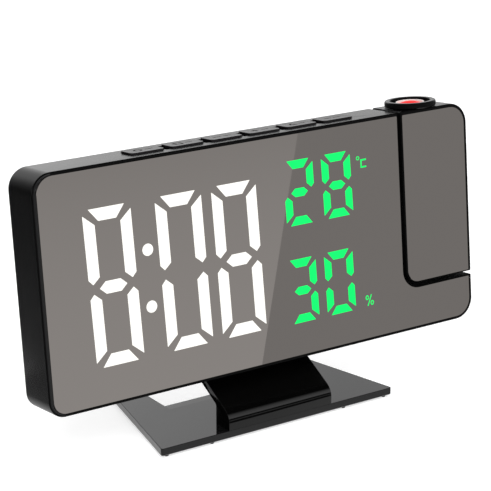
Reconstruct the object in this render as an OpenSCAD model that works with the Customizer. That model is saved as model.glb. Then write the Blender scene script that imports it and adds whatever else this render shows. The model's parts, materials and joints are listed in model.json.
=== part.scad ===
// Projection alarm clock: leaning mirror-fronted body, tilting projector arm,
// six top buttons and a notched table stand.
// Millimetres. +X right, +Y back, +Z up; the origin lies on the table, under the
// middle of the base plate. The leaning body is drawn upright in its own frame
// (x across, y behind the front face, z above the bottom edge) and then set on the stand.

/* [Body] */
// Width of the body, projector arm included
body_w = 190; // [186:1:200]
// Height of the body
body_h = 86; // [84:1:94]
// Depth of the body, front face to back face
body_d = 18; // [18:0.5:22]
// Backward lean of the body, degrees
lean = 6; // [2:1:10]
// Radius of the body's outer corners
corner_r = 8; // [6:0.5:9]
// Rounding of the outer front and back edges
edge_r = 0.7; // [0.4:0.1:0.9]
// Wall thickness of the housings
wall = 1.8; // [1.6:0.1:2]
// Thickness of the back covers
cover_t = 2; // [1.8:0.1:2.2]
// Width of the black rim around the mirror
rim_w = 1.3; // [1.1:0.1:1.5]
// Thickness of the mirror panels
mirror_t = 1.5; // [1.2:0.1:1.6]
// Lower front edge of the body above the plate's underside
body_lift = 23.2; // [23.2:0.2:27]
// Front face of the body behind the plate's front edge, at the bottom
body_setback = 2.8; // [2.4:0.2:3.2]

/* [Projector arm] */
// Width of the arm
arm_w = 32.2; // [31:0.2:34]
// Height of the shelf under the arm, above the body's bottom edge
shelf_h = 17; // [15:0.5:19]
// Gap between arm and body, all round
arm_gap = 1.4; // [1.3:0.1:2]
// Width of the rim beside that gap
seam_rim = 0.5; // [0.5:0.1:1]
// Rounding of the arm's lower edges, which lets it swing past the shelf
swing_r = 0.5; // [0.4:0.1:0.9]
// Radius of the arm's lower inner corner
arm_corner_r = 5.6; // [4.5:0.1:6.5]
// Width from the arm's outer side to the lens axis
lens_inset = 20.4; // [20.2:0.1:20.8]
// Radius of the hinge shaft
shaft_r = 3.5; // [3.1:0.1:3.6]
// Wall of the hinge bush
bush_wall = 1.5; // [1.2:0.1:1.6]
// Radius of the cable hole through the hinge shaft
cable_hole_r = 2.1; // [1.6:0.1:2.3]

/* [Lens and focus ring] */
// Outer radius of the focus ring
ring_r = 9.9; // [9.5:0.1:10.1]
// Radius of the recess in the ring's top
ring_recess_r = 7.8; // [7.5:0.1:8]
// Height of the ring above the arm's top face
ring_h = 2.4; // [2.1:0.1:3]
// Radius of the lens barrel's lower tube
barrel_r = 5.5; // [5.3:0.1:5.6]
// Length of the lens barrel below the top face
barrel_len = 14; // [12:0.5:16]
// Length of the projector tube below the digit slide
lamp_len = 14; // [12:0.5:16]
// Thickness of the condenser lens
condenser_t = 3.4; // [2.8:0.1:3.8]
// Side of the square digit slide
slide_s = 7.4; // [7:0.1:7.6]
// Travel of the lens barrel, each way
focus_travel = 0.4; // [0.2:0.1:0.5]

/* [Buttons] */
// Distance between neighbouring buttons
button_pitch = 16.6; // [16:0.2:17]
// Width of a button
button_w = 13.6; // [12.4:0.2:13.8]
// Depth of a button, front to back
button_d = 8.6; // [8:0.2:9]
// Height of a button above the top face
button_h = 1.1; // [0.8:0.1:1.4]
// Place of the first button's centre, from the body's middle
button_first_x = -45.9; // [-47:0.1:-44]
// Travel of a button
button_travel = 0.5; // [0.3:0.1:0.6]

/* [Display] */
// Height of the time digits
time_h = 56.6; // [50:0.2:57]
// Width of a time digit
time_w = 19.2; // [18:0.2:20]
// Stroke of the time digits
time_stroke = 4.5; // [3.5:0.1:5]
// Lower edge of the time digits above the body's bottom edge
time_z = 14.3; // [12:0.1:15]
// Centres of the hour, first and second minute digits, from the body's middle
hour_x = -66.8; // [-68:0.1:-66]
// Centre of the tens of minutes digit
tens_x = -37.4; // [-38:0.1:-37]
// Centre of the last minute digit
units_x = -13.7; // [-14.2:0.1:-13.2]
// Centre of the colon
colon_x = -51.8; // [-52.2:0.1:-51.4]
// Radius of the colon's dots
dot_r = 2.3; // [1.8:0.1:2.5]
// Height of the small digits
small_h = 24.4; // [22:0.2:25]
// Width of a small digit
small_w = 13.1; // [12:0.1:13.6]
// Stroke of the small digits
small_stroke = 3; // [2.4:0.1:3.4]
// Centre of the first small digit
small_x = 14.7; // [14:0.1:15.6]
// Distance between the two small digits
small_pitch = 17.2; // [16.4:0.1:17.6]
// Top edge of the temperature digits below the body's top edge
temperature_down = 10.9; // [9:0.1:11.5]
// Lower edge of the humidity digits
humidity_z = 13.2; // [11.6:0.1:13.6]
// Thickness of the light box behind the mirror
light_box_t = 4; // [3:0.1:4.2]
// Thickness of the diffusers in the light box
diffuser_t = 2.6; // [2:0.1:2.6]
// Thickness of the circuit boards
board_t = 1.6; // [1:0.1:1.6]

/* [Stand] */
// Width of the base plate along its front edge
plate_w = 105; // [100:1:120]
// Depth of the base plate
plate_d = 58; // [54:1:66]
// Thickness of the base plate
plate_t = 2.9; // [2.6:0.1:3.6]
// Width that each side of the plate loses towards the back
plate_taper = 12.4; // [8:0.2:14]
// Width of the open notch in the plate's back edge
notch_w = 60.8; // [56:0.2:64]
// Front edge of the notch behind the plate's front edge
notch_y = 34.2; // [32:0.2:36]
// Width of the bevel along the notch's front edge
notch_bevel = 4.6; // [3:0.2:5]
// Height of the small rubber feet
foot_h = 0.8; // [0.7:0.1:1.5]
// Radius of the small rubber feet
foot_r = 0.9; // [0.8:0.1:1.6]
// Width of the bracket
bracket_w = 46.5; // [44:0.5:50]
// Thickness of the bracket's sloping wall
bracket_t = 3; // [2.6:0.1:3]
// Depth of the bracket's foot block
bracket_foot_d = 9; // [8:0.1:9.2]
// Height of the bracket's upright face above the plate
bracket_foot_h = 6.1; // [5.6:0.1:6.4]
// Radius of the bend over the upright face
bracket_bend_r = 3.3; // [2.4:0.1:3.6]
// Rise of the bracket's sloping wall, degrees
bracket_rise = 28.9; // [27:0.1:29]
// Reach of the plate screws into the bracket's foot
plate_screw_reach = 4.5; // [3.5:0.1:4.6]
// Height of the upright tongue behind the body, above its bottom edge
tongue_h = 33; // [30:0.5:40]

/* [Back face] */
// Centre of the loudspeaker from the body's left side
speaker_in = 33; // [28:0.5:40]
// Centre of the loudspeaker below the body's top edge
speaker_down = 36; // [32:0.5:44]
// Centre of the coin cell from the body's middle
cell_from_mid = 22; // [18:0.5:28]
// Centre of the coin cell below the body's top edge
cell_down = 34; // [30:0.5:36]
// Side of the power inlet's square housing
inlet_s = 9; // [8.4:0.2:10]
// Centre of the power inlet beside the bracket
inlet_beside = 16.75; // [12:0.25:24]
// Centre of the power inlet above the body's bottom edge
inlet_up = 11.5; // [10:0.5:16]
// Centre of the humidity sensor from the body's right side
sensor_in = 21; // [18:0.5:24]
// Width of the humidity sensor's board
sensor_w = 16; // [14:0.5:18]
// Height of the humidity sensor's board
sensor_h = 8; // [7:0.5:9]
// Side of the coin cell's cover
cell_cover_s = 25; // [24.6:0.2:26]
// Radius of the coin cell
cell_r = 10; // [9.9:0.05:10]
// Thickness of the coin cell
cell_t = 3.2; // [3:0.1:3.2]
// Radius of the power inlet's socket
inlet_r = 2.9; // [2.75:0.05:3]
// Radius of the power inlet's centre pin
inlet_pin_r = 1; // [0.9:0.1:1.2]
// Radius of the loudspeaker
speaker_r = 10; // [8:0.5:11]
// Width of the grille's slots
slot_w = 1.4; // [1:0.1:1.6]

/* [Screws and clearances] */
// Radius of a screw's shank
screw_r = 1.1; // [1:0.05:1.2]
// Radius of a screw's head
screw_head_r = 2.3; // [2.1:0.1:2.5]
// Height of a screw's head
screw_head_h = 1.2; // [1:0.1:1.3]
// Clearance between pieces that are fixed together
fit = 0.1; // [0.05:0.01:0.15]
// Radial clearance of a shaft that turns in its bush
running = 0.06; // [0.03:0.01:0.09]
// Clearance round pieces that move past others
free_gap = 0.3; // [0.25:0.05:0.4]

/* [Hidden] */
$fn = 64;

// a small overlap that lets cuts pass right through a face
over = 0.1;
plate_z = foot_h;
front_y = -plate_d / 2;
body_origin = [0, front_y + body_setback, plate_z + body_lift];
half_w = body_w / 2;
// the arm's outline
arm_x = half_w - arm_w;
arm_z = shelf_h + arm_gap;
// the body's right side, beside the arm
seam_x = arm_x - arm_gap;
// depths, counted from the front face
mirror_back = mirror_t + fit;
ledge_back = mirror_t + 1.6;
cover_front = body_d - cover_t;
board_front = mirror_back + light_box_t;
board_back = board_front + board_t;
mid_d = body_d / 2;
// the ledge behind the mirror reaches this far in from the outline
ledge_in = wall + 2.2;
mirror_in = rim_w;

// Rounded off corner of radius r, as the sliver to take away
module spandrel(r) {
    difference() {
        translate([-over, -over]) square(r + over);
        translate([r, r]) circle(r);
    }
}

// Rectangle from a to b with its own radius at each corner:
// lower left, lower right, upper right, upper left
module panel(a, b, radii) {
    difference() {
        translate(a) square(b - a);
        translate(a) spandrel(radii[0]);
        translate([b[0], a[1]]) mirror([1, 0]) spandrel(radii[1]);
        translate(b) mirror([1, 0]) mirror([0, 1]) spandrel(radii[2]);
        translate([a[0], b[1]]) mirror([0, 1]) spandrel(radii[3]);
    }
}

function inner(r, inset) = max(r - inset, 0.4);

// Outline of the whole clock face, drawn in by inset
module face_outline(inset) {
    r = inner(corner_r, inset);
    panel([-half_w + inset, inset], [half_w - inset, body_h - inset], [r, r, r, r]);
}

// The bay that the arm stands in, let out by inset
module arm_bay(inset) {
    panel([seam_x - inset, shelf_h - inset], [half_w + corner_r, body_h + corner_r],
          [arm_corner_r + arm_gap + inset, 1, 1, 1]);
}

// Outline of the fixed body, drawn in by inset, or by its own amount beside the seam
module body_outline(inset, seam) {
    difference() {
        face_outline(inset);
        arm_bay(is_undef(seam) ? inset : seam);
    }
}

// Outline of the projector arm, drawn in by inset, or by its own amount beside the seam
module arm_outline(inset, seam) {
    s = is_undef(seam) ? inset : seam;
    panel([arm_x + s, arm_z + s], [half_w - inset, body_h - inset],
          [inner(arm_corner_r, s), inner(1.2, inset), inner(corner_r, inset), inner(1.2, inset)]);
}

// Sets pieces drawn in the body's frame on the stand
module leaning() {
    translate(body_origin) rotate([-lean, 0, 0]) children();
}

// Extrudes an outline drawn as (x, height) between two depths
module between(front, back) {
    translate([0, back, 0]) rotate([90, 0, 0]) linear_extrude(back - front) children();
}

// Extrudes an outline drawn as (depth, height) between two widths
module across(left, right) {
    translate([left, 0, 0]) rotate([90, 0, 90]) linear_extrude(right - left) children();
}

// Extrudes an outline drawn as (x, depth) between two heights
module upward(low, high) {
    translate([0, 0, low]) linear_extrude(high - low) children();
}

// Cylinder along the depth, the height or the width
module pin_back(x, z, front, back, r) {
    translate([x, back, z]) rotate([90, 0, 0]) cylinder(h = back - front, r = r);
}
module pin_up(x, y, low, high, r) {
    translate([x, y, low]) cylinder(h = high - low, r = r);
}
module pin_across(y, z, left, right, r) {
    translate([left, y, z]) rotate([0, 90, 0]) cylinder(h = right - left, r = r);
}

// Screw with a pan head, its head at the back, the tip at the front
module screw_back(x, z, tip, head) {
    pin_back(x, z, tip, head, screw_r);
    pin_back(x, z, head, head + screw_head_h, screw_head_r);
}

// Rounds the front and back edges off a cross-section that ends at the given place
module edge_cuts(x, front, back) {
    translate([x, front]) mirror([1, 0]) spandrel(edge_r);
    translate([x, back]) mirror([1, 0]) mirror([0, 1]) spandrel(edge_r);
}

// Hole through a back cover for such a screw, with a sunk seat for its head
module screw_hole(x, z) {
    pin_back(x, z, cover_front - over, body_d + over, screw_r + 0.2);
    pin_back(x, z, screw_seat, body_d + over, screw_head_r + 0.2);
}

// Block of the whole clock with rounded front and back edges: a revolved piece at
// each corner, joined by bars along the sides
module soft_block() {
    module corner() {
        rotate([-90, 0, 0]) rotate_extrude() difference() {
            square([corner_r, body_d]);
            edge_cuts(corner_r, 0, body_d);
        }
    }
    for (x = [corner_r - half_w, half_w - corner_r], z = [corner_r, body_h - corner_r])
        translate([x, 0, z]) corner();
    edges = [edge_r, edge_r, edge_r, edge_r];
    across(corner_r - half_w, half_w - corner_r) panel([0, 0], [body_d, body_h], edges);
    upward(corner_r, body_h - corner_r) panel([-half_w, 0], [half_w, body_d], edges);
}

// ---- housing ----------------------------------------------------------------

hinge_z = (arm_z + body_h) / 2;
bush_r = shaft_r + running + bush_wall;
bush_len = 9.1;
boss_r = 2.9;
pilot_r = screw_r + fit / 2;
top_inner = body_h - wall;
hinge_boss_r = bush_r + 1.5;
hinge_left = seam_x - bush_len;
// room that the hinge takes from the light box and the board
hinge_bay_x = hinge_left - 3.2;
hinge_bay_h = 2 * hinge_boss_r + 2;
// screws that hold the back cover
cover_screw_in = 5.8;
cover_screw_up = 6.8;
cover_screws_at = [[cover_screw_in - half_w, cover_screw_up],
                   [cover_screw_in - half_w, body_h - cover_screw_up],
                   [seam_x - wall - boss_r - fit, body_h - cover_screw_up],
                   [half_w - cover_screw_in, cover_screw_up]];
screw_tip = 9;
screw_seat = body_d - screw_head_h;
// buttons: one node for each
button_n = 6;
button_y = mid_d;
button_corner = 0.8;
flange_w = 0.9;
flange_t = 0.8;
flange_top = top_inner - fit;
flange_low = flange_top - flange_t;
function button_x(i) = button_first_x + i * button_pitch;
button_end_x = button_x(button_n - 1);
// key switches and their board
switch_s = 6;
switch_h = 3.2;
switch_y = 11.3;
plunger_r = 1.6;
plunger_h = 1;
stem_r = 1.8;
stem_low = flange_low - 2;
plunger_top = stem_low - button_travel - free_gap;
switch_top = plunger_top - plunger_h;
key_board_top = switch_top - switch_h;
key_board_front = board_back + 0.7;
key_board_back = cover_front - 0.4;
hanger_w = 1.6;
hanger_front = switch_y + switch_s / 2 + 0.1;
// places on the back
speaker_x = speaker_in - half_w;
speaker_z = body_h - speaker_down;
cell_x = cell_from_mid;
cell_z = body_h - cell_down;
cell_screw_off = cell_cover_s / 2 - 3;
cell_back = cover_front - free_gap;
cell_front = cell_back - cell_t;
contact_t = 0.4;
tub_floor = cell_front - contact_t;
tub_wall = 1.5;
inlet_x = -bracket_w / 2 - inlet_beside;
inlet_z = inlet_up;
inlet_back = body_d - 0.4;
inlet_front = board_back + 1.2;
inlet_bottom = inlet_front + 1;
sensor_x = half_w - sensor_in;
sensor_z = shelf_h / 2 + 0.5;
sensor_front = cover_front - 3;
sensor_can = 5;
sensor_post = 2;
tongue_screw_x = bracket_w / 2 - 10.2;
tongue_screw_z = tongue_h - 13;
tongue_tip = cover_front - 5.6;

module front_frame() {
    module bosses() {
        for (p = cover_screws_at) pin_back(p[0], p[1], mirror_back, cover_front, boss_r);
        pin_across(mid_d, hinge_z, hinge_left, seam_x - wall / 2, hinge_boss_r);
        // hangers for the key board, in the gaps between buttons
        for (i = [0.5 : 2 : button_n - 1])
            translate([button_x(i) - hanger_w / 2, hanger_front, key_board_top])
                cube([hanger_w, key_board_back - hanger_front, top_inner + over - key_board_top]);
    }
    module windows() {
        for (i = [0 : button_n - 1])
            translate([button_x(i), button_y]) {
                w = button_w / 2 + free_gap;
                d = button_d / 2 + free_gap;
                r = button_corner + free_gap;
                panel([-w, -d], [w, d], [r, r, r, r]);
            }
    }
    color("#161616") leaning() difference() {
        union() {
            difference() {
                soft_block();
                between(-over, mirror_t) body_outline(mirror_in, seam_rim);
                between(mirror_t - over, ledge_back) body_outline(ledge_in);
                between(ledge_back, body_d + over) body_outline(wall);
            }
            bosses();
        }
        between(-over, body_d + over) arm_bay(0);
        upward(top_inner - over, body_h + over) windows();
        pin_across(mid_d, hinge_z, hinge_left - over, seam_x + over, bush_r + fit / 2);
        for (p = cover_screws_at) pin_back(p[0], p[1], screw_tip - 1, body_d, pilot_r);
    }
}

module mirror_panel() {
    color("#6e6a67") leaning() between(0, mirror_t) body_outline(mirror_in + fit, seam_rim + fit);
}

// A row of slots that fills a circle
module slots_in_circle(r) {
    step = 2 * slot_w;
    n = floor((r - slot_w) / step);
    for (i = [-n : n]) {
        l = sqrt(r * r - pow(i * step, 2)) - slot_w / 2;
        translate([-l, i * step - slot_w / 2]) square([2 * l, slot_w]);
    }
}

module sensor_slots() {
    for (i = [-1.5 : 1 : 1.5])
        translate([sensor_x + i * 2 * slot_w - slot_w / 2, sensor_z - sensor_h / 2 + 0.5])
            square([slot_w, sensor_h - 1]);
}

module rear_cover() {
    half_cover = cell_cover_s / 2 + fit;
    module plate_cuts() {
        translate([speaker_x, speaker_z]) slots_in_circle(speaker_r - 1.6);
        sensor_slots();
        translate([cell_x - half_cover, cell_z - half_cover]) square(2 * half_cover);
        translate([inlet_x - inlet_s / 2 - fit, inlet_z - inlet_s / 2 - fit]) square(inlet_s + 2 * fit);
    }
    module tub() {
        s = half_cover + tub_wall;
        between(tub_floor - 1.2, cover_front + over)
            translate([cell_x - s, cell_z - s]) square(2 * s);
    }
    color("#131313") leaning() difference() {
        union() {
            difference() {
                between(cover_front, body_d) body_outline(wall + fit);
                between(cover_front - over, body_d + over) plate_cuts();
            }
            difference() {
                tub();
                between(cover_front, body_d)
                    translate([cell_x - half_cover, cell_z - half_cover]) square(2 * half_cover);
                pin_back(cell_x, cell_z, tub_floor, body_d, cell_r + 0.25);
            }
            for (s = [-1, 1])
                pin_back(s * tongue_screw_x, tongue_screw_z, tongue_tip - 1, cover_front + over, boss_r);
            // posts for the humidity sensor
            for (x = [1.4 - sensor_w / 2, sensor_w / 2 - 1.4])
                pin_back(sensor_x + x, sensor_z, cover_front - sensor_post, cover_front + over, 1);
            // ring that holds the loudspeaker
            difference() {
                pin_back(speaker_x, speaker_z, cover_front - 2, cover_front + over, speaker_r + 1.2);
                pin_back(speaker_x, speaker_z, cover_front - 3, cover_front, speaker_r + fit);
                translate([speaker_x - 4, cover_front - 3, speaker_z - speaker_r - 2]) cube([8, 3, 4]);
            }
        }
        for (p = cover_screws_at) screw_hole(p[0], p[1]);
        for (s = [-1, 1])
            pin_back(s * tongue_screw_x, tongue_screw_z, tongue_tip - 0.4, body_d + over, pilot_r);
        pin_back(cell_x + cell_screw_off, cell_z - cell_screw_off, tub_floor, body_d, pilot_r);
    }
}

module cover_screws() {
    color("#3a3a3c") leaning() for (p = cover_screws_at) screw_back(p[0], p[1], screw_tip, screw_seat);
}

// ---- display ----------------------------------------------------------------

// Shape of a segment, in strokes: where a cap's outer and inner corners lie, where an
// upright's mitred ends lie, and where the middle bar starts
cap_out = 0.54;
cap_in = 1.34;
upright_top = 0.44;
upright_top_in = 1.28;
upright_low_in = 0.91;
upright_tip = 0.38;
upright_low = 0.78;
bar_in = 0.91;
bar_slope = 0.56;

// Lit segments of each numeral: top, upper right, lower right, bottom, lower left,
// upper left, middle
SEGMENTS = [[1, 1, 1, 1, 1, 1, 0], [0, 1, 1, 0, 0, 0, 0], [1, 1, 0, 1, 1, 0, 1], [1, 1, 1, 1, 0, 0, 1],
            [0, 1, 1, 0, 0, 1, 1], [1, 0, 1, 1, 0, 1, 1], [1, 0, 1, 1, 1, 1, 1], [1, 1, 1, 0, 0, 0, 0],
            [1, 1, 1, 1, 1, 1, 1], [1, 1, 1, 1, 0, 1, 1]];

// Top or bottom segment of a digit, hanging from z = 0
module segment_cap(w, t) {
    polygon([[cap_out * t, 0], [w - cap_out * t, 0], [w - cap_in * t, -t], [cap_in * t, -t]]);
}

// Left upright above the digit's middle line
module segment_upright(half, t) {
    polygon([[0, half - upright_top * t], [t, half - upright_top_in * t], [t, upright_low_in * t],
             [upright_tip * t, upright_tip * t], [0, upright_low * t]]);
}

module segment_bar(w, t) {
    a = bar_in * t;
    b = a + bar_slope * t;
    polygon([[a, 0], [b, t / 2], [w - b, t / 2], [w - a, 0], [w - b, -t / 2], [b, -t / 2]]);
}

// Seven-segment digit w wide and h high, with stroke t, centred across and standing on
// z = 0; it draws the segments whose entry in the numeral's row is equal to lit
module digit(w, h, t, numeral, lit) {
    row = SEGMENTS[numeral];
    half = h / 2;
    translate([-w / 2, half]) {
        if (row[0] == lit) translate([0, half]) segment_cap(w, t);
        if (row[1] == lit) translate([w, 0]) mirror([1, 0]) segment_upright(half, t);
        if (row[2] == lit) translate([w, 0]) rotate(180) segment_upright(half, t);
        if (row[3] == lit) translate([0, -half]) mirror([0, 1]) segment_cap(w, t);
        if (row[4] == lit) mirror([0, 1]) segment_upright(half, t);
        if (row[5] == lit) segment_upright(half, t);
        if (row[6] == lit) segment_bar(w, t);
    }
}

// The time shown, 8:08, and the two readings beside it, 28 degrees and 30 percent
module time_digits_2d(lit) {
    for (d = [[hour_x, 8], [tens_x, 0], [units_x, 8]])
        translate([d[0], time_z]) digit(time_w, time_h, time_stroke, d[1], lit);
}
module small_digits_2d(z, tens, units, lit) {
    translate([small_x, z]) digit(small_w, small_h, small_stroke, tens, lit);
    translate([small_x + small_pitch, z]) digit(small_w, small_h, small_stroke, units, lit);
}

temperature_z = body_h - temperature_down - small_h;
colon_off = 10.3;
unit_x = small_x + small_pitch + small_w / 2 + 2.9;
unit_stroke = 0.6;
module colon_2d() {
    for (s = [-1, 1]) translate([colon_x, time_z + time_h / 2 + s * colon_off]) circle(dot_r);
}

// Degree ring and a C of straight strokes
module celsius_2d() {
    ring_up = small_h - 3.1;
    letter = [1.3, small_h - 7.2];
    letter_size = [3.1, 3.6];
    translate([unit_x, temperature_z]) {
        translate([0, ring_up]) difference() {
            circle(1);
            circle(1 - unit_stroke);
        }
        translate(letter) {
            square([unit_stroke, letter_size[1]]);
            square([letter_size[0], unit_stroke]);
            translate([0, letter_size[1] - unit_stroke]) square([letter_size[0], unit_stroke]);
        }
    }
}

// Percent sign: two rings and a slanted stroke
module percent_2d() {
    rise = 2.4;
    translate([unit_x + 2, humidity_z + 2.8]) {
        for (s = [-1, 1]) translate([-s * 1.3, s * 1.2]) difference() {
            circle(0.95);
            circle(0.95 - unit_stroke);
        }
        polygon([[-1.5, -rise], [-0.9, -rise], [1.5, rise], [0.9, rise]]);
    }
}

diffuser_back = mirror_back + diffuser_t;
module time_digits() {
    color("white") leaning() between(mirror_back, diffuser_back) {
        time_digits_2d(1);
        colon_2d();
    }
}
module temperature_digits() {
    color("#05fa6e") leaning() between(mirror_back, diffuser_back) {
        small_digits_2d(temperature_z, 2, 8, 1);
        celsius_2d();
    }
}
module humidity_digits() {
    color("#05fa6e") leaning() between(mirror_back, diffuser_back) {
        small_digits_2d(humidity_z, 3, 0, 1);
        percent_2d();
    }
}
// The segments that are off
module unlit_digits() {
    color("#242424") leaning() between(mirror_back, diffuser_back) {
        time_digits_2d(0);
        small_digits_2d(temperature_z, 2, 8, 0);
        small_digits_2d(humidity_z, 3, 0, 0);
    }
}

// Bay beside the hinge that the display keeps clear of
module hinge_bay() {
    translate([hinge_bay_x, hinge_z - hinge_bay_h / 2]) square([body_w, hinge_bay_h]);
}
module clear_of_bosses() {
    for (p = cover_screws_at) translate(p) circle(boss_r + free_gap);
}

board_in = 7;
board_edge_x = seam_x - 7;
// screws of the board: a left, a middle and a right pair, the upper ones under the
// key board or over the hinge
board_screw_low = board_in + 3;
board_screw_high = key_board_top - board_t - screw_head_r - free_gap;
board_left_x = board_in + 4 - half_w;
board_mid_x = (units_x + small_x) / 2 + 1.5;
board_right_x = board_edge_x - 4;
board_screws_at = [[board_left_x, board_screw_low], [board_left_x, board_screw_high],
                   [board_mid_x, board_screw_low], [board_mid_x, board_screw_high],
                   [board_right_x, board_screw_low],
                   [board_right_x, hinge_z + hinge_bay_h / 2 + screw_head_r + 0.7]];

// Moulded black carrier with a cell for every segment; its rim sits behind the ledge
module light_box() {
    color("#1b1b1b") leaning() difference() {
        union() {
            between(mirror_back, board_front) body_outline(ledge_in + fit);
            between(ledge_back, ledge_back + 1) body_outline(wall + fit);
        }
        between(mirror_back - over, board_front + over) {
            time_digits_2d(0);
            time_digits_2d(1);
            colon_2d();
            small_digits_2d(temperature_z, 2, 8, 0);
            small_digits_2d(temperature_z, 2, 8, 1);
            small_digits_2d(humidity_z, 3, 0, 0);
            small_digits_2d(humidity_z, 3, 0, 1);
            hinge_bay();
            clear_of_bosses();
        }
        // the unit marks are blind cells, so that the middles of their rings hold
        between(mirror_back - over, diffuser_back) {
            celsius_2d();
            percent_2d();
        }
        for (p = board_screws_at) pin_back(p[0], p[1], mirror_back + 0.8, board_front + over, pilot_r);
    }
}

module main_board() {
    color("#1f5a34") leaning() difference() {
        between(board_front, board_back) difference() {
            translate([-half_w + board_in, board_in]) square([board_edge_x + half_w - board_in,
                                                              body_h - 2 * board_in]);
            hinge_bay();
            clear_of_bosses();
        }
        for (p = board_screws_at) pin_back(p[0], p[1], board_front - over, board_back + over, screw_r + fit);
    }
}
module board_screws() {
    color("#b9b9b4") leaning()
        for (p = board_screws_at) screw_back(p[0], p[1], mirror_back + 1.4, board_back);
}

// Driver chips and the quartz can on the back of the board
chip_t = 1.7;
chip_w = 18;
chip_h = 12;
module board_chips() {
    low = board_in + 20;
    color("#26282b") leaning() between(board_back, board_back + chip_t) {
        translate([tens_x, low]) square([chip_w, chip_h]);
        translate([tens_x + chip_w + 3, low]) square([chip_w * 0.55, chip_h * 0.6]);
        translate([tens_x + chip_w * 1.55 + 6, low]) square([chip_w * 0.4, chip_h * 0.4]);
    }
}

// ---- buttons ----------------------------------------------------------------

module key_board() {
    margin = button_w / 2 + 3;
    color("#1f5a34") leaning() upward(key_board_top - board_t, key_board_top)
        translate([button_first_x - margin, key_board_front])
            square([button_end_x - button_first_x + 2 * margin, key_board_back - key_board_front]);
}
module key_switches() {
    color("#8f9196") leaning() for (i = [0 : button_n - 1]) translate([button_x(i), switch_y]) {
        upward(key_board_top, switch_top) translate([-switch_s / 2, -switch_s / 2]) square(switch_s);
        cylinder_at(switch_top, plunger_top, plunger_r);
    }
}
module cylinder_at(low, high, r) {
    translate([0, 0, low]) cylinder(h = high - low, r = r);
}

// Cap with its two retaining lips and the stem that presses the switch
module button_cap(i) {
    w = button_w / 2;
    d = button_d / 2;
    r = button_corner;
    color("#171717") leaning() translate([button_x(i), button_y]) {
        upward(flange_low, body_h + button_h) panel([-w, -d], [w, d], [r, r, r, r]);
        upward(flange_low, flange_top)
            translate([-w - flange_w, r - d]) square([2 * (w + flange_w), 2 * (d - r)]);
        translate([0, switch_y - button_y]) cylinder_at(stem_low, flange_low, stem_r);
    }
}
module mode_button() { button_cap(0); }
module set_button() { button_cap(1); }
module down_button() { button_cap(2); }
module up_button() { button_cap(3); }
module alarm_button() { button_cap(4); }
module snooze_button() { button_cap(5); }

// ---- pieces on the back cover -----------------------------------------------

module loudspeaker() {
    rim_t = 1.4;
    magnet_t = 3.4;
    color("#4b4c50") leaning() {
        pin_back(speaker_x, speaker_z, cover_front - rim_t, cover_front, speaker_r);
        pin_back(speaker_x, speaker_z, cover_front - rim_t - magnet_t, cover_front - rim_t, speaker_r * 0.68);
    }
}
module coin_cell() {
    color("#c9cacb") leaning() {
        pin_back(cell_x, cell_z, cell_front + 0.4, cell_back, cell_r);
        pin_back(cell_x, cell_z, cell_front, cell_front + 0.4, cell_r - 1.4);
    }
}
module cell_contact() {
    color("#c8ae62") leaning() {
        pin_back(cell_x, cell_z, tub_floor, cell_front, cell_r * 0.42);
        between(tub_floor, cell_front) translate([cell_x - 1.5, cell_z - cell_r + 1]) square([3, cell_r]);
    }
}
module cell_cover() {
    h = cell_cover_s / 2;
    color("#131313") leaning() difference() {
        between(cover_front, body_d) translate([cell_x, cell_z]) panel([-h, -h], [h, h], [1, 1, 1, 1]);
        screw_hole(cell_x + cell_screw_off, cell_z - cell_screw_off);
        // finger groove along the top edge
        across(cell_x - 5, cell_x + 5) translate([body_d, cell_z + h - 3]) circle(0.8);
    }
}
module cell_cover_screw() {
    color("#3a3a3c") leaning()
        screw_back(cell_x + cell_screw_off, cell_z - cell_screw_off, tub_floor + 0.4, screw_seat);
}
module power_inlet() {
    h = inlet_s / 2;
    color("#0f0f0f") leaning() {
        difference() {
            between(inlet_front, inlet_back) translate([inlet_x - h, inlet_z - h]) square(inlet_s);
            pin_back(inlet_x, inlet_z, inlet_bottom, body_d, inlet_r);
        }
        // feet that stand on the board
        for (s = [-1, 1])
            between(board_back, inlet_front)
                translate([inlet_x + s * inlet_s / 3 - 1, inlet_z - 1]) square(2);
    }
}
module inlet_pin() {
    color("#c8ae62") leaning() pin_back(inlet_x, inlet_z, inlet_bottom, inlet_back - 1.5, inlet_pin_r);
}
module humidity_sensor() {
    color("#2a6b45") leaning() {
        between(sensor_front, cover_front - sensor_post)
            translate([sensor_x - sensor_w / 2, sensor_z - sensor_h / 2]) square([sensor_w, sensor_h]);
        between(cover_front - sensor_post, cover_front - 0.6)
            translate([sensor_x - sensor_can / 2, sensor_z - sensor_can / 2]) square(sensor_can);
    }
}

// ---- projector arm ----------------------------------------------------------

lens_x = half_w - lens_inset;
lens_y = mid_d;
shaft_end = arm_x + wall + 2;
shaft_boss_r = shaft_r + 1.6;
clip_t = 1.2;
clip_x = hinge_left - free_gap - clip_t;
arm_boss_in = wall + boss_r + 0.6;
arm_screws_at = [[half_w - cover_screw_in, body_h - cover_screw_up],
                 [half_w - arm_boss_in, arm_z + 6],
                 [arm_x + arm_boss_in, arm_z + 6]];
// focus ring
ring_low = body_h + 0.2;
ring_top = body_h + ring_h;
ring_floor = ring_low + 0.5;
ring_bore_r = barrel_r + free_gap;
skirt_r = ring_bore_r + 0.8;
lip_r = skirt_r + 0.35;
lip_top = top_inner - 0.2;
lip_low = lip_top - 0.7;
// lens barrel
head_t = 0.6;
head_low = ring_floor + focus_travel + 0.2;
head_r = ring_recess_r - free_gap;
barrel_low = body_h - barrel_len;
barrel_bore_r = barrel_r - 1.1;
lens_r = barrel_r - 0.65;
lens_seat = head_low - 1.6;
// projector tube
tube_wall = 0.85;
tube_r = barrel_r + running + tube_wall;
tube_top = lip_low - free_gap;
slide_t = 1.1;
slide_low = barrel_low - focus_travel - slide_t - 2;
light_r = 3.5;
tube_low = slide_low - lamp_len;
condenser_top = slide_low - 3;
lamp_board_t = 1.6;

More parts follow.
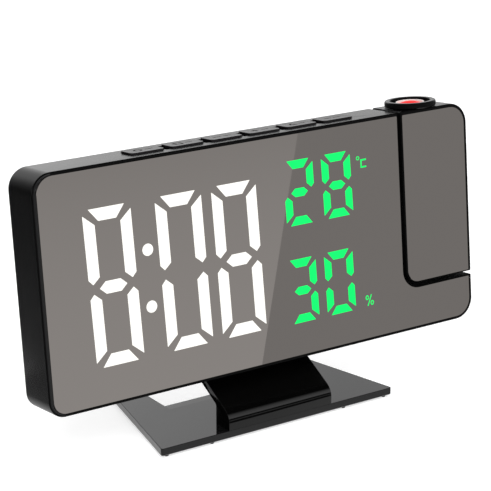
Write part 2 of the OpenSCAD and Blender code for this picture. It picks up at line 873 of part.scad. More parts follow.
module arm_frame() {
    module bosses() {
        for (p = arm_screws_at) pin_back(p[0], p[1], mirror_back, cover_front, boss_r);
        pin_across(mid_d, hinge_z, arm_x + wall / 2, shaft_end, shaft_boss_r);
    }
    color("#161616") leaning() difference() {
        union() {
            difference() {
                intersection() {
                    soft_block();
                    between(-over, body_d + over) arm_outline(0);
                }
                between(-over, mirror_t) arm_outline(mirror_in, seam_rim);
                between(mirror_t - over, ledge_back) arm_outline(ledge_in);
                between(ledge_back, body_d + over) arm_outline(wall);
            }
            bosses();
        }
        pin_across(mid_d, hinge_z, arm_x - over, shaft_end + over, shaft_r + fit / 2);
        // lower front and back edges, rounded so that they pass the shelf
        across(arm_x - over, half_w + over) {
            translate([0, arm_z]) spandrel(swing_r);
            translate([body_d, arm_z]) mirror([1, 0]) spandrel(swing_r);
        }
        pin_up(lens_x, lens_y, top_inner - over, body_h + over, skirt_r + running);
        // room for the lip of the focus ring and for the tube
        pin_up(lens_x, lens_y, tube_low - 4, top_inner, lip_r + free_gap);
        for (p = arm_screws_at) pin_back(p[0], p[1], screw_tip - 1, body_d, pilot_r);
    }
}
module arm_mirror() {
    color("#6e6a67") leaning() between(0, mirror_t) arm_outline(mirror_in + fit, seam_rim + fit);
}
module arm_cover() {
    saddle_w = 9;
    saddle_front = lens_y + 3;
    color("#131313") leaning() difference() {
        union() {
            between(cover_front, body_d) arm_outline(wall + fit);
            // saddles that hold the projector tube
            for (z = [tube_low + 3, tube_top - 8])
                translate([lens_x - saddle_w / 2, saddle_front, z])
                    cube([saddle_w, cover_front + over - saddle_front, 2]);
        }
        pin_up(lens_x, lens_y, tube_low, body_h, tube_r + fit / 2);
        for (p = arm_screws_at) screw_hole(p[0], p[1]);
    }
}
module arm_screws() {
    color("#3a3a3c") leaning() for (p = arm_screws_at) screw_back(p[0], p[1], screw_tip, screw_seat);
}

// Tube along X, from left to right
module sleeve_across(left, right, outer, bore) {
    difference() {
        pin_across(mid_d, hinge_z, left, right, outer);
        pin_across(mid_d, hinge_z, left - over, right + over, bore);
    }
}
module hinge_shaft() {
    color("#c9cacb") leaning() sleeve_across(clip_x - 0.8, shaft_end, shaft_r, cable_hole_r);
}
module hinge_bush() {
    color("#c8ae62") leaning() sleeve_across(hinge_left, seam_x, bush_r, shaft_r + running);
}
module hinge_washer() {
    color("#d8d8d2") leaning() sleeve_across(seam_x + free_gap, arm_x, bush_r + 1, shaft_r + fit / 2);
}
module hinge_clip() {
    color("#6f7073") leaning() sleeve_across(clip_x, clip_x + clip_t, bush_r, shaft_r + fit / 2);
}

// Solid of revolution on the lens axis, from a profile drawn as (radius, height)
module turned() {
    translate([lens_x, lens_y, 0]) rotate_extrude() children();
}

module projector_tube() {
    bore = barrel_r + running;
    color("#202022") leaning() turned() difference() {
        translate([light_r, tube_low]) square([tube_r - light_r, tube_top - tube_low]);
        translate([0, slide_low]) square([bore, tube_top]);
        translate([0, tube_low - over]) square([bore - 0.2, condenser_top - tube_low + over]);
    }
}
module projector_lamp() {
    color("#e6e3da") leaning() {
        pin_up(lens_x, lens_y, tube_low - lamp_board_t, tube_low, tube_r);
        pin_up(lens_x, lens_y, tube_low, tube_low + 1.2, 2.4);
    }
}
module condenser_lens() {
    r = barrel_r + running - 0.3;
    color("#cfe4ea") leaning() intersection() {
        pin_up(lens_x, lens_y, condenser_top - condenser_t, condenser_top, r);
        translate([lens_x, lens_y, condenser_top - condenser_t + 7.5]) sphere(7.5);
    }
}
module digit_slide() {
    color("#3a4a52") leaning() upward(slide_low, slide_low + slide_t)
        translate([lens_x - slide_s / 2, lens_y - slide_s / 2]) square(slide_s);
}

// Rim with a recessed floor, and a skirt that turns in the arm's top wall
module focus_ring() {
    edge = 0.4;
    color("#1a1a1a") leaning() turned() difference() {
        union() {
            polygon([[ring_recess_r - 2, ring_low], [ring_r - edge, ring_low], [ring_r, ring_low + edge],
                     [ring_r, ring_top - edge], [ring_r - edge, ring_top], [ring_recess_r - 2, ring_top]]);
            translate([ring_bore_r, lip_low]) square([skirt_r - ring_bore_r, ring_floor - lip_low]);
            translate([ring_bore_r, lip_low]) square([lip_r - ring_bore_r, lip_top - lip_low]);
        }
        translate([0, ring_floor]) square([ring_recess_r, ring_h + over]);
        translate([0, lip_low - over]) square([ring_bore_r, body_h]);
    }
}
module lens_barrel() {
    color("#d8d5cf") leaning() turned() difference() {
        union() {
            translate([barrel_bore_r, barrel_low]) square([barrel_r - barrel_bore_r, head_low - barrel_low]);
            translate([barrel_bore_r, head_low]) square([head_r - barrel_bore_r, head_t]);
        }
        translate([0, lens_seat]) square([lens_r + fit / 2, head_t + 2]);
    }
}
module projection_lens() {
    dome_r = 11;
    color("#f0d8d4") leaning() intersection() {
        pin_up(lens_x, lens_y, lens_seat, head_low + head_t + 0.3, lens_r);
        translate([lens_x, lens_y, head_low + head_t + 0.2 - dome_r]) sphere(dome_r);
    }
}

// ---- stand ------------------------------------------------------------------

plate_top = plate_z + plate_t;
feet_in = 3;
feet_at = [for (s = [-1, 1], p = [[plate_w / 2 - feet_in, 1.6], [notch_w / 2 - 0.4, 1.6],
                                  [plate_w / 2 - feet_in - 1.6, 12.5],
                                  [plate_w / 2 - plate_taper - 4, plate_d - 3]]) [s * p[0], front_y + p[1]]];
plate_screw_x = 15;
plate_screw_y = front_y + bracket_foot_d / 2;

module plate_outline() {
    back_w = plate_w / 2 - plate_taper;
    difference() {
        polygon([[-plate_w / 2, front_y], [plate_w / 2, front_y], [back_w, -front_y], [-back_w, -front_y]]);
        translate([-notch_w / 2, front_y + notch_y]) square([notch_w, plate_d]);
    }
}
module base_plate() {
    bevel_h = 0.4;
    color("#2b2b2d") difference() {
        upward(plate_z, plate_top) plate_outline();
        // bevel along the notch's front edge
        across(-notch_w / 2, notch_w / 2) polygon([[front_y + notch_y - notch_bevel, plate_top],
            [front_y + notch_y + over, plate_top - bevel_h], [front_y + notch_y + over, plate_top + over],
            [front_y + notch_y - notch_bevel, plate_top + over]]);
        for (s = [-1, 1]) {
            pin_up(s * plate_screw_x, plate_screw_y, plate_z - over, plate_top + over, screw_r + 0.2);
            pin_up(s * plate_screw_x, plate_screw_y, plate_z - over, plate_z + screw_head_h,
                   screw_head_r + 0.2);
        }
    }
}
module rubber_feet() {
    color("#0c0c0c") for (p = feet_at) translate([p[0], p[1], 0]) cylinder(h = foot_h, r = foot_r);
}
module plate_screws() {
    color("#3a3a3c") for (s = [-1, 1]) {
        pin_up(s * plate_screw_x, plate_screw_y, plate_z + screw_head_h, plate_top + plate_screw_reach,
               screw_r);
        pin_up(s * plate_screw_x, plate_screw_y, plate_z, plate_z + screw_head_h, screw_head_r);
    }
}

// A point of the leaning body, given by its depth and height, as (depth, height) here
function leaned(p) = [body_origin[1] + p[0] * cos(lean) + p[1] * sin(lean),
                      body_origin[2] - p[0] * sin(lean) + p[1] * cos(lean)];
// Where the line through p along u meets the line through q along v
function turn_of(a, b) = a[0] * b[1] - a[1] * b[0];
function meet(p, u, q, v) = p + u * turn_of(q - p, v) / turn_of(u, v);
// Points of the round bend at corner p, between a line that comes up and one that leaves along u
function bend(p, turn, r) = let (t = r * tan(turn / 2), c = [p[0] + r, p[1] - t])
    [for (i = [0 : 8]) c + r * [-cos(turn * i / 8), sin(turn * i / 8)]];

module stand_bracket() {
    rise = [cos(bracket_rise), sin(bracket_rise)];
    upright = [sin(lean), cos(lean)];
    corner = [front_y, plate_top + bracket_foot_h];
    under = corner + bracket_t * [sin(bracket_rise), -cos(bracket_rise)];
    front_top = leaned([body_d, tongue_h]);
    back_top = leaned([body_d + bracket_t, tongue_h]);
    foot_back = front_y + bracket_foot_d;
    outline = concat([[front_y, plate_top]], bend(corner, 90 - bracket_rise, bracket_bend_r),
        [meet(corner, rise, front_top, upright), front_top, back_top, meet(under, rise, back_top, upright),
         meet(under, rise, [foot_back, 0], [0, 1]), [foot_back, plate_top]]);
    color("#0b0b0b") difference() {
        across(-bracket_w / 2, bracket_w / 2) polygon(outline);
        for (s = [-1, 1]) {
            pin_up(s * plate_screw_x, plate_screw_y, plate_top - over,
                   plate_top + plate_screw_reach + free_gap,
                   pilot_r);
            leaning() pin_back(s * tongue_screw_x, tongue_screw_z, body_d - over, body_d + bracket_t + over,
                               screw_r + 0.2);
        }
    }
}
module bracket_screws() {
    color("#3a3a3c") leaning() for (s = [-1, 1])
        screw_back(s * tongue_screw_x, tongue_screw_z, tongue_tip, body_d + bracket_t);
}

front_frame();
rear_cover();
mirror_panel();
light_box();
time_digits();
temperature_digits();
humidity_digits();
unlit_digits();
main_board();
board_chips();
board_screws();
key_board();
key_switches();
mode_button();
set_button();
down_button();
up_button();
alarm_button();
snooze_button();
loudspeaker();
coin_cell();
cell_contact();
cell_cover();
cell_cover_screw();
power_inlet();
inlet_pin();
humidity_sensor();
cover_screws();
hinge_bush();
hinge_washer();
hinge_shaft();
hinge_clip();
arm_frame();
arm_cover();
arm_mirror();
arm_screws();
projector_tube();
projector_lamp();
condenser_lens();
digit_slide();
focus_ring();
lens_barrel();
projection_lens();
base_plate();
plate_screws();
rubber_feet();
stand_bracket();
bracket_screws();
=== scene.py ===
# %% [markdown]
# # A projection alarm clock, dressed round its frame
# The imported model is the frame: it says where each piece is, how big it is and what it
# moves with. This script gives the clock its skin. It builds the visible shells, caps,
# lens and stand as bevelled meshes, and mixes a finish for every piece from a few shared
# shader groups. The frame itself is never moved.

# %% Load the frame
import bpy, bmesh, json, math
from mathutils import Matrix, Vector


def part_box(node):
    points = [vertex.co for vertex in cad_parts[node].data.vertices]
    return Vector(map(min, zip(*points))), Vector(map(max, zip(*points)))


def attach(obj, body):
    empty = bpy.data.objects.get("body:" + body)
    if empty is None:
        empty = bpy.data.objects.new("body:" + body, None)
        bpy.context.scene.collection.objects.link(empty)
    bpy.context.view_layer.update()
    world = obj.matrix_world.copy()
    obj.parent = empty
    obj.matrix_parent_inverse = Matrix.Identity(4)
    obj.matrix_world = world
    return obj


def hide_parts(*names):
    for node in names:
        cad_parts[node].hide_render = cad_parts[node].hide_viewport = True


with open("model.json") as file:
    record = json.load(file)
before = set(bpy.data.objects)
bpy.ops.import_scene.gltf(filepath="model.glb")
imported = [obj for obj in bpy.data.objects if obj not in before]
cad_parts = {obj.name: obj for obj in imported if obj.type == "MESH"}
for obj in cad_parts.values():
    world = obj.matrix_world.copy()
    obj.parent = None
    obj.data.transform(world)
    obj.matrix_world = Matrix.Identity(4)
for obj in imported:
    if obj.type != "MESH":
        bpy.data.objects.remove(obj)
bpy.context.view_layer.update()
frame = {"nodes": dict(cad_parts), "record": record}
nodes = frame["nodes"]

# %% [markdown]
# ## The leaning body's own measures
# A clock like this is drawn upright and then leaned back on its stand, so the same is
# done here. Every piece of the body is drawn in millimetres as (across, behind the front
# face, above the bottom edge), and one matrix sets it on the stand in metres. Drawing in
# a leaning frame by hand would make every number hard to read.

# %% Sizes of the body and the matrix that leans it
MM = 0.001
BODY_W, BODY_H, BODY_D = 190.0, 86.0, 18.0
HALF_W, MID = BODY_W / 2, BODY_D / 2
WALL, MIRROR_T, COVER_T = 1.8, 1.5, 2.0
COVER_FRONT = BODY_D - COVER_T
# The shelf under the arm, the seam round the arm, and the arm's left and lower edges
SHELF_H, GAP, ARM_W = 17.0, 1.4, 32.2
ARM_LEFT, ARM_LOW = HALF_W - ARM_W, SHELF_H + GAP
SEAM_LEFT = ARM_LEFT - GAP
# Radii of the long edges and, as seen from the front, of the corners
EDGE_R, CORNER_R, HIGH_LEFT_R, LOW_LEFT_R = 0.7, 8.0, 7.5, 6.0
ARM_CORNER_R, SEAM_END_R, SHARP_R = 5.6, 0.8, 0.4
# Widths of the mirror's rim: at the right, at the left, above and below, at the shelf and
# beside the seam
RIM, RIM_LEFT, RIM_LONG, RIM_SHELF, RIM_SEAM = 1.3, 1.6, 1.1, 0.3, 0.5
# The base plate's front edge and underside, and where the body's lower front edge stands
PLATE_FRONT, PLATE_UNDER = -29.0, 0.8
SET_BACK, LIFT, LEAN = 2.8, 23.2, math.radians(6)

on_table = Matrix.Scale(MM, 4)
leaning = (on_table @ Matrix.Translation((0, PLATE_FRONT + SET_BACK, PLATE_UNDER + LIFT))
           @ Matrix.Rotation(-LEAN, 4, "X"))


def check_corner(node, point, side):
    """Prints how far a drawn point lies from the frame's own corner of a node."""
    low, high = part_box(node)
    there = (leaning @ Vector(point))[side]
    print(f"{node}: drawn {there:.5f}, frame {low[side]:.5f} to {high[side]:.5f}")


check_corner("front_frame", (HALF_W, 0, 0), 0)
check_corner("front_frame", (0, BODY_D - EDGE_R, 0), 2)

# %% [markdown]
# ## Outlines that can be drawn in
# A moulded shell is one outline repeated at many depths, drawn in a little more at each
# step of its edge rounding. So an outline is kept as a few corners with radii, and a
# function gives its points drawn in by any distance. Convex radii shrink and concave ones
# grow, which keeps the rounding even, and the number of points stays the same, so that
# rings can be joined face to face.

# %% Outline helpers
ARC_STEPS = 10
TINY = 0.02


def outline(corners, inset=0.0):
    """Points of a counter-clockwise outline of (x, z, radius) corners, drawn in by inset."""
    points = []
    for i, (x, z, radius) in enumerate(corners):
        here = Vector((x, z))
        into = (here - Vector(corners[i - 1][:2])).normalized()
        out = (Vector(corners[(i + 1) % len(corners)][:2]) - here).normalized()
        turn = math.atan2(into.x * out.y - into.y * out.x, into.dot(out))
        side = 1 if turn > 0 else -1
        left_in, left_out = Vector((-into.y, into.x)), Vector((-out.y, out.x))
        corner = here + (left_in + left_out) * inset / (1 + left_in.dot(left_out))
        r = max(radius - side * inset, TINY)
        start = corner - into * r * math.tan(abs(turn) / 2)
        centre = start + left_in * side * r
        for k in range(ARC_STEPS + 1):
            points.append(centre + Matrix.Rotation(turn * k / ARC_STEPS, 2) @ (start - centre))
    return points


def box_corners(left, low, right, high, radius):
    """Corners of a rounded rectangle."""
    return [(left, low, radius), (right, low, radius), (right, high, radius), (left, high, radius)]


def rounding(radius, steps=4):
    """Quarter round as (inset, depth) steps, from the side into the face."""
    turns = [math.pi / 2 * k / steps for k in range(steps + 1)]
    return [(radius * (1 - math.cos(a)), radius * (1 - math.sin(a))) for a in turns]


BODY = [(-HALF_W, 0, LOW_LEFT_R), (HALF_W, 0, CORNER_R), (HALF_W, SHELF_H, SHARP_R),
        (SEAM_LEFT, SHELF_H, ARM_CORNER_R + GAP), (SEAM_LEFT, BODY_H, SEAM_END_R),
        (-HALF_W, BODY_H, HIGH_LEFT_R)]
ARM = [(ARM_LEFT, ARM_LOW, ARM_CORNER_R), (HALF_W, ARM_LOW, SHARP_R),
       (HALF_W, BODY_H, CORNER_R), (ARM_LEFT, BODY_H, SEAM_END_R)]


def with_rim(corners, grow):
    """Corners of a shell's mirror: the rim's own width off each side, and grow more."""
    moved = []
    for x, z, radius in corners:
        rim_x = {SEAM_LEFT: RIM_SEAM, ARM_LEFT: RIM_SEAM, -HALF_W: RIM_LEFT}.get(x, RIM) + grow
        rim_z = {SHELF_H: RIM_SHELF, ARM_LOW: RIM_SEAM}.get(z, RIM_LONG) + grow
        inward_x = -1 if x > 0 and x != ARM_LEFT else 1
        inward_z = -1 if z in (BODY_H, SHELF_H) else 1
        concave = (x, z) == (SEAM_LEFT, SHELF_H)
        inner = radius + RIM_SEAM + grow if concave else max(radius - min(rim_x, rim_z), SHARP_R)
        moved.append((x + inward_x * rim_x, z + inward_z * rim_z, inner))
    return moved


print("outline points:", len(outline(BODY)), len(outline(ARM)))

# %% [markdown]
# ## From rings to solids
# `lofted` joins rings of points into a closed skin. A profile of (inset, depth) pairs
# says how each ring is drawn in and how deep it lies. The skin either closes on itself,
# like a picture frame, or is capped at both ends, like a plate. Building skins ring by
# ring gives clean quads with true roundings, where a bevel modifier on a cut block would
# leave pinched corners.

# %% Mesh helpers
SHARP_EDGE = math.radians(32)
PAST = 1.0  # how far a cutter reaches past the skin that it opens


def as_object(bm, name, place=leaning):
    """Turns a bmesh drawn in millimetres into a piece set in place, with smooth shading."""
    bmesh.ops.recalc_face_normals(bm, faces=bm.faces)
    mesh = bpy.data.meshes.new(name)
    bm.to_mesh(mesh)
    bm.free()
    mesh.transform(place)
    piece = bpy.data.objects.new(name, mesh)
    bpy.context.scene.collection.objects.link(piece)
    for face in mesh.polygons:
        face.use_smooth = True
    mesh.set_sharp_from_angle(angle=SHARP_EDGE)
    return piece


def skin(bm, rings, closed=False):
    """Joins rings of 3-D points with quads; the skin meets itself, or its ends are capped."""
    loops = [[bm.verts.new(p) for p in ring] for ring in rings]
    pairs = list(zip(loops, loops[1:])) + ([(loops[-1], loops[0])] if closed else [])
    for a, b in pairs:
        for k in range(len(a)):
            n = (k + 1) % len(a)
            bm.faces.new((a[k], a[n], b[n], b[k]))
    if not closed:
        bm.faces.new(loops[0])
        bm.faces.new(reversed(loops[-1]))


def lofted(name, corners, profile, closed=False, place=leaning, across=None):
    """A skin through one outline, drawn in and set back as the profile says."""
    bm = bmesh.new()
    point = across or (lambda p, depth: (p.x, depth, p.y))
    skin(bm, [[point(p, depth) for p in outline(corners, inset)] for inset, depth in profile], closed)
    return as_object(bm, name, place)


def turned(name, profile, centre, steps=96, place=leaning):
    """A lathe-turned piece round an upright axis, from a closed line of (radius, height) points."""
    bm = bmesh.new()
    angles = [2 * math.pi * k / steps for k in range(steps)]
    rings = [[(centre[0] + r * math.cos(a), centre[1] + r * math.sin(a), h) for a in angles]
             for r, h in profile]
    skin(bm, rings, closed=True)
    return as_object(bm, name, place)


def cut(piece, *cutters):
    """Takes the cutters' volumes out of a piece and removes the cutters."""
    for cutter in cutters:
        tool = piece.modifiers.new("cut", "BOOLEAN")
        tool.operation, tool.solver, tool.object = "DIFFERENCE", "EXACT", cutter
        bake(piece)
        bpy.data.objects.remove(cutter)
    return piece


def bake(piece):
    """Applies every modifier to the piece's mesh."""
    bpy.context.view_layer.update()
    graph = bpy.context.evaluated_depsgraph_get()
    mesh = bpy.data.meshes.new_from_object(piece.evaluated_get(graph))
    piece.modifiers.clear()
    piece.data = mesh


def soften(piece, width, segments=2, angle=40):
    """Rounds what sharp edges are left, and evens the shading of the flat faces."""
    bevel = piece.modifiers.new("soften", "BEVEL")
    bevel.width, bevel.segments = width * MM, segments
    bevel.limit_method, bevel.angle_limit = "ANGLE", math.radians(angle)
    bake(piece)
    piece.modifiers.new("even", "WEIGHTED_NORMAL").keep_sharp = True
    bake(piece)
    return piece


print("mesh helpers ready; edges sharper than", round(math.degrees(SHARP_EDGE)), "degrees stay sharp")

# %% [markdown]
# ## Camera
# The view is a three-quarter one from the left and a little above, with a long lens.
# Its place was worked out from the corners of the front face and the base plate.

# %% Camera
CAMERA_AT = (-0.37087, -0.55299, 0.27801)
CAMERA_TILT, CAMERA_TURN = math.radians(72.125), math.radians(-34.094)
LENS_LONG, FILM_W = 136.5, 36

camera = bpy.data.objects.new("camera", bpy.data.cameras.new("camera"))
camera.location, camera.rotation_euler = CAMERA_AT, (CAMERA_TILT, 0, CAMERA_TURN)
camera.data.lens, camera.data.sensor_width = LENS_LONG, FILM_W
camera.data.clip_start, camera.data.clip_end = 0.02, 20
bpy.context.scene.collection.objects.link(camera)
bpy.context.scene.camera = camera
bpy.context.scene.view_settings.view_transform = "Standard"
print("camera at", tuple(camera.location))

# %% [markdown]
# ## Shader groups
# Nearly every surface of the clock shares a few small effects: the grain that a mould
# leaves, corners that have been rubbed bright, dust that settles on what faces up, and
# the broad smears that hands leave on gloss. Each effect is built once as a node group
# with named inputs, and each material places it with its own values. Painting them into
# every material by hand would make thirty copies of the same nodes.

# %% Group helpers
FLOAT = "NodeSocketFloat"


def new_group(name, inputs, outputs):
    """An empty shader group with named float inputs; returns the tree and its two ends."""
    tree = bpy.data.node_groups.new(name, "ShaderNodeTree")
    for label, default in inputs.items():
        tree.interface.new_socket(name=label, in_out="INPUT", socket_type=FLOAT).default_value = default
    for label in outputs:
        tree.interface.new_socket(name=label, in_out="OUTPUT", socket_type=FLOAT)
    return tree, tree.nodes.new("NodeGroupInput"), tree.nodes.new("NodeGroupOutput")


def put_out(tree, ends_out, **results):
    """Links each result to the group's output of that name."""
    for label, result in results.items():
        tree.links.new(result, ends_out.inputs[label])


def put(tree, kind, **settings):
    """A node of that kind; settings are its properties, or its inputs by name."""
    node = tree.nodes.new("ShaderNode" + kind)
    for key, value in settings.items():
        if hasattr(node, key):
            setattr(node, key, value)
        else:
            node.inputs[key.replace("_", " ").title()].default_value = value
    return node


def object_place(tree):
    """The object's own coordinates, so that a pattern moves with its piece."""
    return put(tree, "TexCoord").outputs["Object"]


def math_node(tree, operation, a, b, clamp=False):
    """A Math node whose inputs are numbers or sockets; returns its output."""
    node = put(tree, "Math", operation=operation, use_clamp=clamp)
    for socket, value in zip(node.inputs, (a, b)):
        if isinstance(value, (int, float)):
            socket.default_value = value
        else:
            tree.links.new(value, socket)
    return node.outputs[0]


def steeper(tree, value, start, gain):
    """The value less start, times gain, kept between zero and one."""
    return math_node(tree, "MULTIPLY", math_node(tree, "SUBTRACT", value, start), gain, clamp=True)


def noise(tree, place, scale, detail=2.0, kind="Noise"):
    """A noise texture on a coordinate; scale is a number or a socket; returns its factor."""
    node = put(tree, "Tex" + kind)
    if kind == "Noise":
        node.inputs["Detail"].default_value = detail
    tree.links.new(place, node.inputs["Vector"])
    if isinstance(scale, (int, float)):
        node.inputs["Scale"].default_value = scale
    else:
        tree.links.new(scale, node.inputs["Scale"])
    return node.outputs[0]


print("group helpers ready")

# %% [markdown]
# ### Grain and spark texture
# A mould leaves a fine grain on the case and the keys; noise gives its height, and broader
# noise lets the roughness wander a little. Back covers come from a mould etched by sparks,
# which leaves flat crumbs with pits between them, so their texture is a Voronoi one.

# %% Mould grain
grain_group, ends_in, ends_out = new_group(
    "mould_grain", {"Scale": 2600, "Roughness": 0.4, "Spread": 0.08}, ["Height", "Roughness"])
place = object_place(grain_group)
fine = noise(grain_group, place, ends_in.outputs["Scale"], 3)
broad = noise(grain_group, place, 60, 4)
wander = math_node(grain_group, "MULTIPLY", math_node(grain_group, "SUBTRACT", broad, 0.5),
                   ends_in.outputs["Spread"])
rough = math_node(grain_group, "ADD", wander, ends_in.outputs["Roughness"], clamp=True)
put_out(grain_group, ends_out, Height=fine, Roughness=rough)
print("mould grain:", len(grain_group.nodes), "nodes")

# %% Spark texture
spark_group, ends_in, ends_out = new_group(
    "spark_texture", {"Scale": 1500, "Roughness": 0.55}, ["Height", "Roughness"])
place = object_place(spark_group)
crumbs = noise(spark_group, place, ends_in.outputs["Scale"], kind="Voronoi")
pits = noise(spark_group, place, math_node(spark_group, "MULTIPLY", ends_in.outputs["Scale"], 2.3), 2)
height = math_node(spark_group, "ADD", crumbs, math_node(spark_group, "MULTIPLY", pits, 0.6))
rough = math_node(spark_group, "ADD", math_node(spark_group, "MULTIPLY", pits, 0.16),
                  math_node(spark_group, "SUBTRACT", ends_in.outputs["Roughness"], 0.08), clamp=True)
put_out(spark_group, ends_out, Height=height, Roughness=rough)
print("spark texture:", len(spark_group.nodes), "nodes")

# %% [markdown]
# ### Rubbed edges and dust
# Handling rubs a moulding along its edges. A Bevel node rounds the normal there, so where
# it leaves the true normal an edge is near, and noise breaks the line up. Dust falls on
# what faces up: the mask is a thin veil and a few specks, held to those faces.

# %% Rubbed edges
wear_group, ends_in, ends_out = new_group(
    "rubbed_edges", {"Radius": 0.0004, "Amount": 0.5, "Patches": 180}, ["Mask"])
round_off = put(wear_group, "Bevel", samples=4)
product = put(wear_group, "VectorMath", operation="DOT_PRODUCT")
wear_group.links.new(ends_in.outputs["Radius"], round_off.inputs["Radius"])
wear_group.links.new(round_off.outputs[0], product.inputs[0])
wear_group.links.new(put(wear_group, "NewGeometry").outputs["Normal"], product.inputs[1])
bend = math_node(wear_group, "MULTIPLY",
                 math_node(wear_group, "SUBTRACT", 1.0, product.outputs["Value"]), 6.0, clamp=True)
patches = noise(wear_group, object_place(wear_group), ends_in.outputs["Patches"], 5)
worn = steeper(wear_group, patches, 0.38, 3.0)
mask = math_node(wear_group, "MULTIPLY", math_node(wear_group, "MULTIPLY", bend, worn),
                 ends_in.outputs["Amount"], clamp=True)
put_out(wear_group, ends_out, Mask=mask)
print("rubbed edges:", len(wear_group.nodes), "nodes")

# %% Settled dust
dust_group, ends_in, ends_out = new_group("settled_dust", {"Amount": 0.2, "Specks": 900}, ["Mask"])
place = object_place(dust_group)
parts = put(dust_group, "SeparateXYZ")
dust_group.links.new(put(dust_group, "TexCoord").outputs["Normal"], parts.inputs[0])
upward = steeper(dust_group, parts.outputs[2], 0.55, 2.2)
veil = math_node(dust_group, "MULTIPLY", noise(dust_group, place, 45, 4), 0.3)
specks = steeper(dust_group, noise(dust_group, place, ends_in.outputs["Specks"], 1), 0.68, 5.0)
mask = math_node(dust_group, "MULTIPLY",
                 math_node(dust_group, "MULTIPLY", math_node(dust_group, "ADD", veil, specks), upward),
                 ends_in.outputs["Amount"], clamp=True)
put_out(dust_group, ends_out, Mask=mask)
print("settled dust:", len(dust_group.nodes), "nodes")

# %% [markdown]
# ### Smears and tool lines
# A polished face is never quite even: hands leave broad soft smears, which show as changes
# of roughness and not of colour. Turned and drawn metal has fine lines along one axis,
# and noise stretched across that axis gives them without a picture.

# %% Hand smears
smear_group, ends_in, ends_out = new_group(
    "hand_smears", {"Clean": 0.04, "Smeared": 0.12, "Scale": 22}, ["Roughness", "Height"])
place = object_place(smear_group)
swirl = put(smear_group, "TexNoise", detail=5.0, distortion=1.2)
smear_group.links.new(place, swirl.inputs["Vector"])
smear_group.links.new(ends_in.outputs["Scale"], swirl.inputs["Scale"])
touch = steeper(smear_group, swirl.outputs[0], 0.5, 4.0)
span = math_node(smear_group, "SUBTRACT", ends_in.outputs["Smeared"], ends_in.outputs["Clean"])
rough = math_node(smear_group, "ADD", math_node(smear_group, "MULTIPLY", touch, span),
                  ends_in.outputs["Clean"])
put_out(smear_group, ends_out, Roughness=rough, Height=noise(smear_group, place, 14, 2))
print("hand smears:", len(smear_group.nodes), "nodes")

# %% Tool lines
line_group, ends_in, ends_out = new_group(
    "tool_lines", {"Across": 4000, "Along": 120, "Roughness": 0.3, "Spread": 0.2}, ["Height", "Roughness"])
axes = put(line_group, "CombineXYZ")
for socket, label in zip(axes.inputs, ("Along", "Across", "Across")):
    line_group.links.new(ends_in.outputs[label], socket)
stretch = put(line_group, "VectorMath", operation="MULTIPLY")
line_group.links.new(object_place(line_group), stretch.inputs[0])
line_group.links.new(axes.outputs[0], stretch.inputs[1])
lines = noise(line_group, stretch.outputs[0], 1.0, 3)
wander = math_node(line_group, "MULTIPLY", math_node(line_group, "SUBTRACT", lines, 0.5),
                   ends_in.outputs["Spread"])
rough = math_node(line_group, "ADD", wander, ends_in.outputs["Roughness"], clamp=True)
put_out(line_group, ends_out, Height=lines, Roughness=rough)
print("groups:", [g.name for g in bpy.data.node_groups])

# %% [markdown]
# ## Finishes
# Most of the clock is moulded plastic, polished plastic or metal. Each kind has one
# builder, which puts the Principled shader in the material itself and feeds it from the
# groups. The single finishes are then one call each, with the values that make them
# different: a satin case, a coarse back cover, a polished stand, a nylon washer. The walls
# of the seam, the rim round the mirror and the side of the focus ring get a painted shade:
# a darker matt black of their own, because hardly any light reaches them.

# %% Parts of a finish
DUST = (0.42, 0.40, 0.37)
finishes = []


def empty_material(name):
    """A material without nodes, and its tree."""
    material = bpy.data.materials.new(name)
    material.use_nodes = True
    material.node_tree.nodes.clear()
    return material, material.node_tree


def new_material(name, colour, roughness, **plain):
    """A material with one Principled shader; plain values go on the shader's own sockets."""
    material, tree = empty_material(name)
    finishes.append(name)
    shader = put(tree, "BsdfPrincipled")
    shader.inputs["Base Color"].default_value = (*colour, 1)
    shader.inputs["Roughness"].default_value = roughness
    for key, value in plain.items():
        shader.inputs[key.replace("_", " ").title().replace("Ior", "IOR")].default_value = value
    tree.links.new(shader.outputs[0], put(tree, "OutputMaterial").inputs[0])
    material.diffuse_color = (*colour, 1)
    return material, tree, shader


def place_group(tree, group, **values):
    """A group node with its own values."""
    node = put(tree, "Group", node_tree=group)
    for key, value in values.items():
        node.inputs[key.title()].default_value = value
    return node


def tint(tree, under, over, mask):
    """Mixes a colour over a colour or socket where the mask is white; returns the result."""
    mix = put(tree, "Mix", data_type="RGBA")
    tree.links.new(mask, mix.inputs[0])
    for socket, value in ((mix.inputs[6], under), (mix.inputs[7], over)):
        if isinstance(value, tuple):
            socket.default_value = (*value, 1)
        else:
            tree.links.new(value, socket)
    return mix.outputs[2]


def bump(tree, shader, height, depth_mm):
    """Feeds a height to the shader's normal; depth_mm is the height's full range."""
    node = put(tree, "Bump", distance=depth_mm * MM)
    tree.links.new(height, node.inputs["Height"])
    tree.links.new(node.outputs[0], shader.inputs["Normal"])


def worn_and_dusty(tree, shader, colour, wear, dust, specks):
    """Feeds Base Color: the colour, paler on rubbed edges, and dust over both."""
    worn = place_group(tree, wear_group, amount=wear)
    dusty = place_group(tree, dust_group, amount=dust, specks=specks)
    paler = tuple(min(1.0, c * 1.5 + 0.012) for c in colour)
    base = tint(tree, colour, paler, worn.outputs["Mask"])
    tree.links.new(tint(tree, base, DUST, dusty.outputs["Mask"]), shader.inputs["Base Color"])


print("dust colour:", DUST)

# %% Builders of the plastics and metals
TARNISH = 0.05


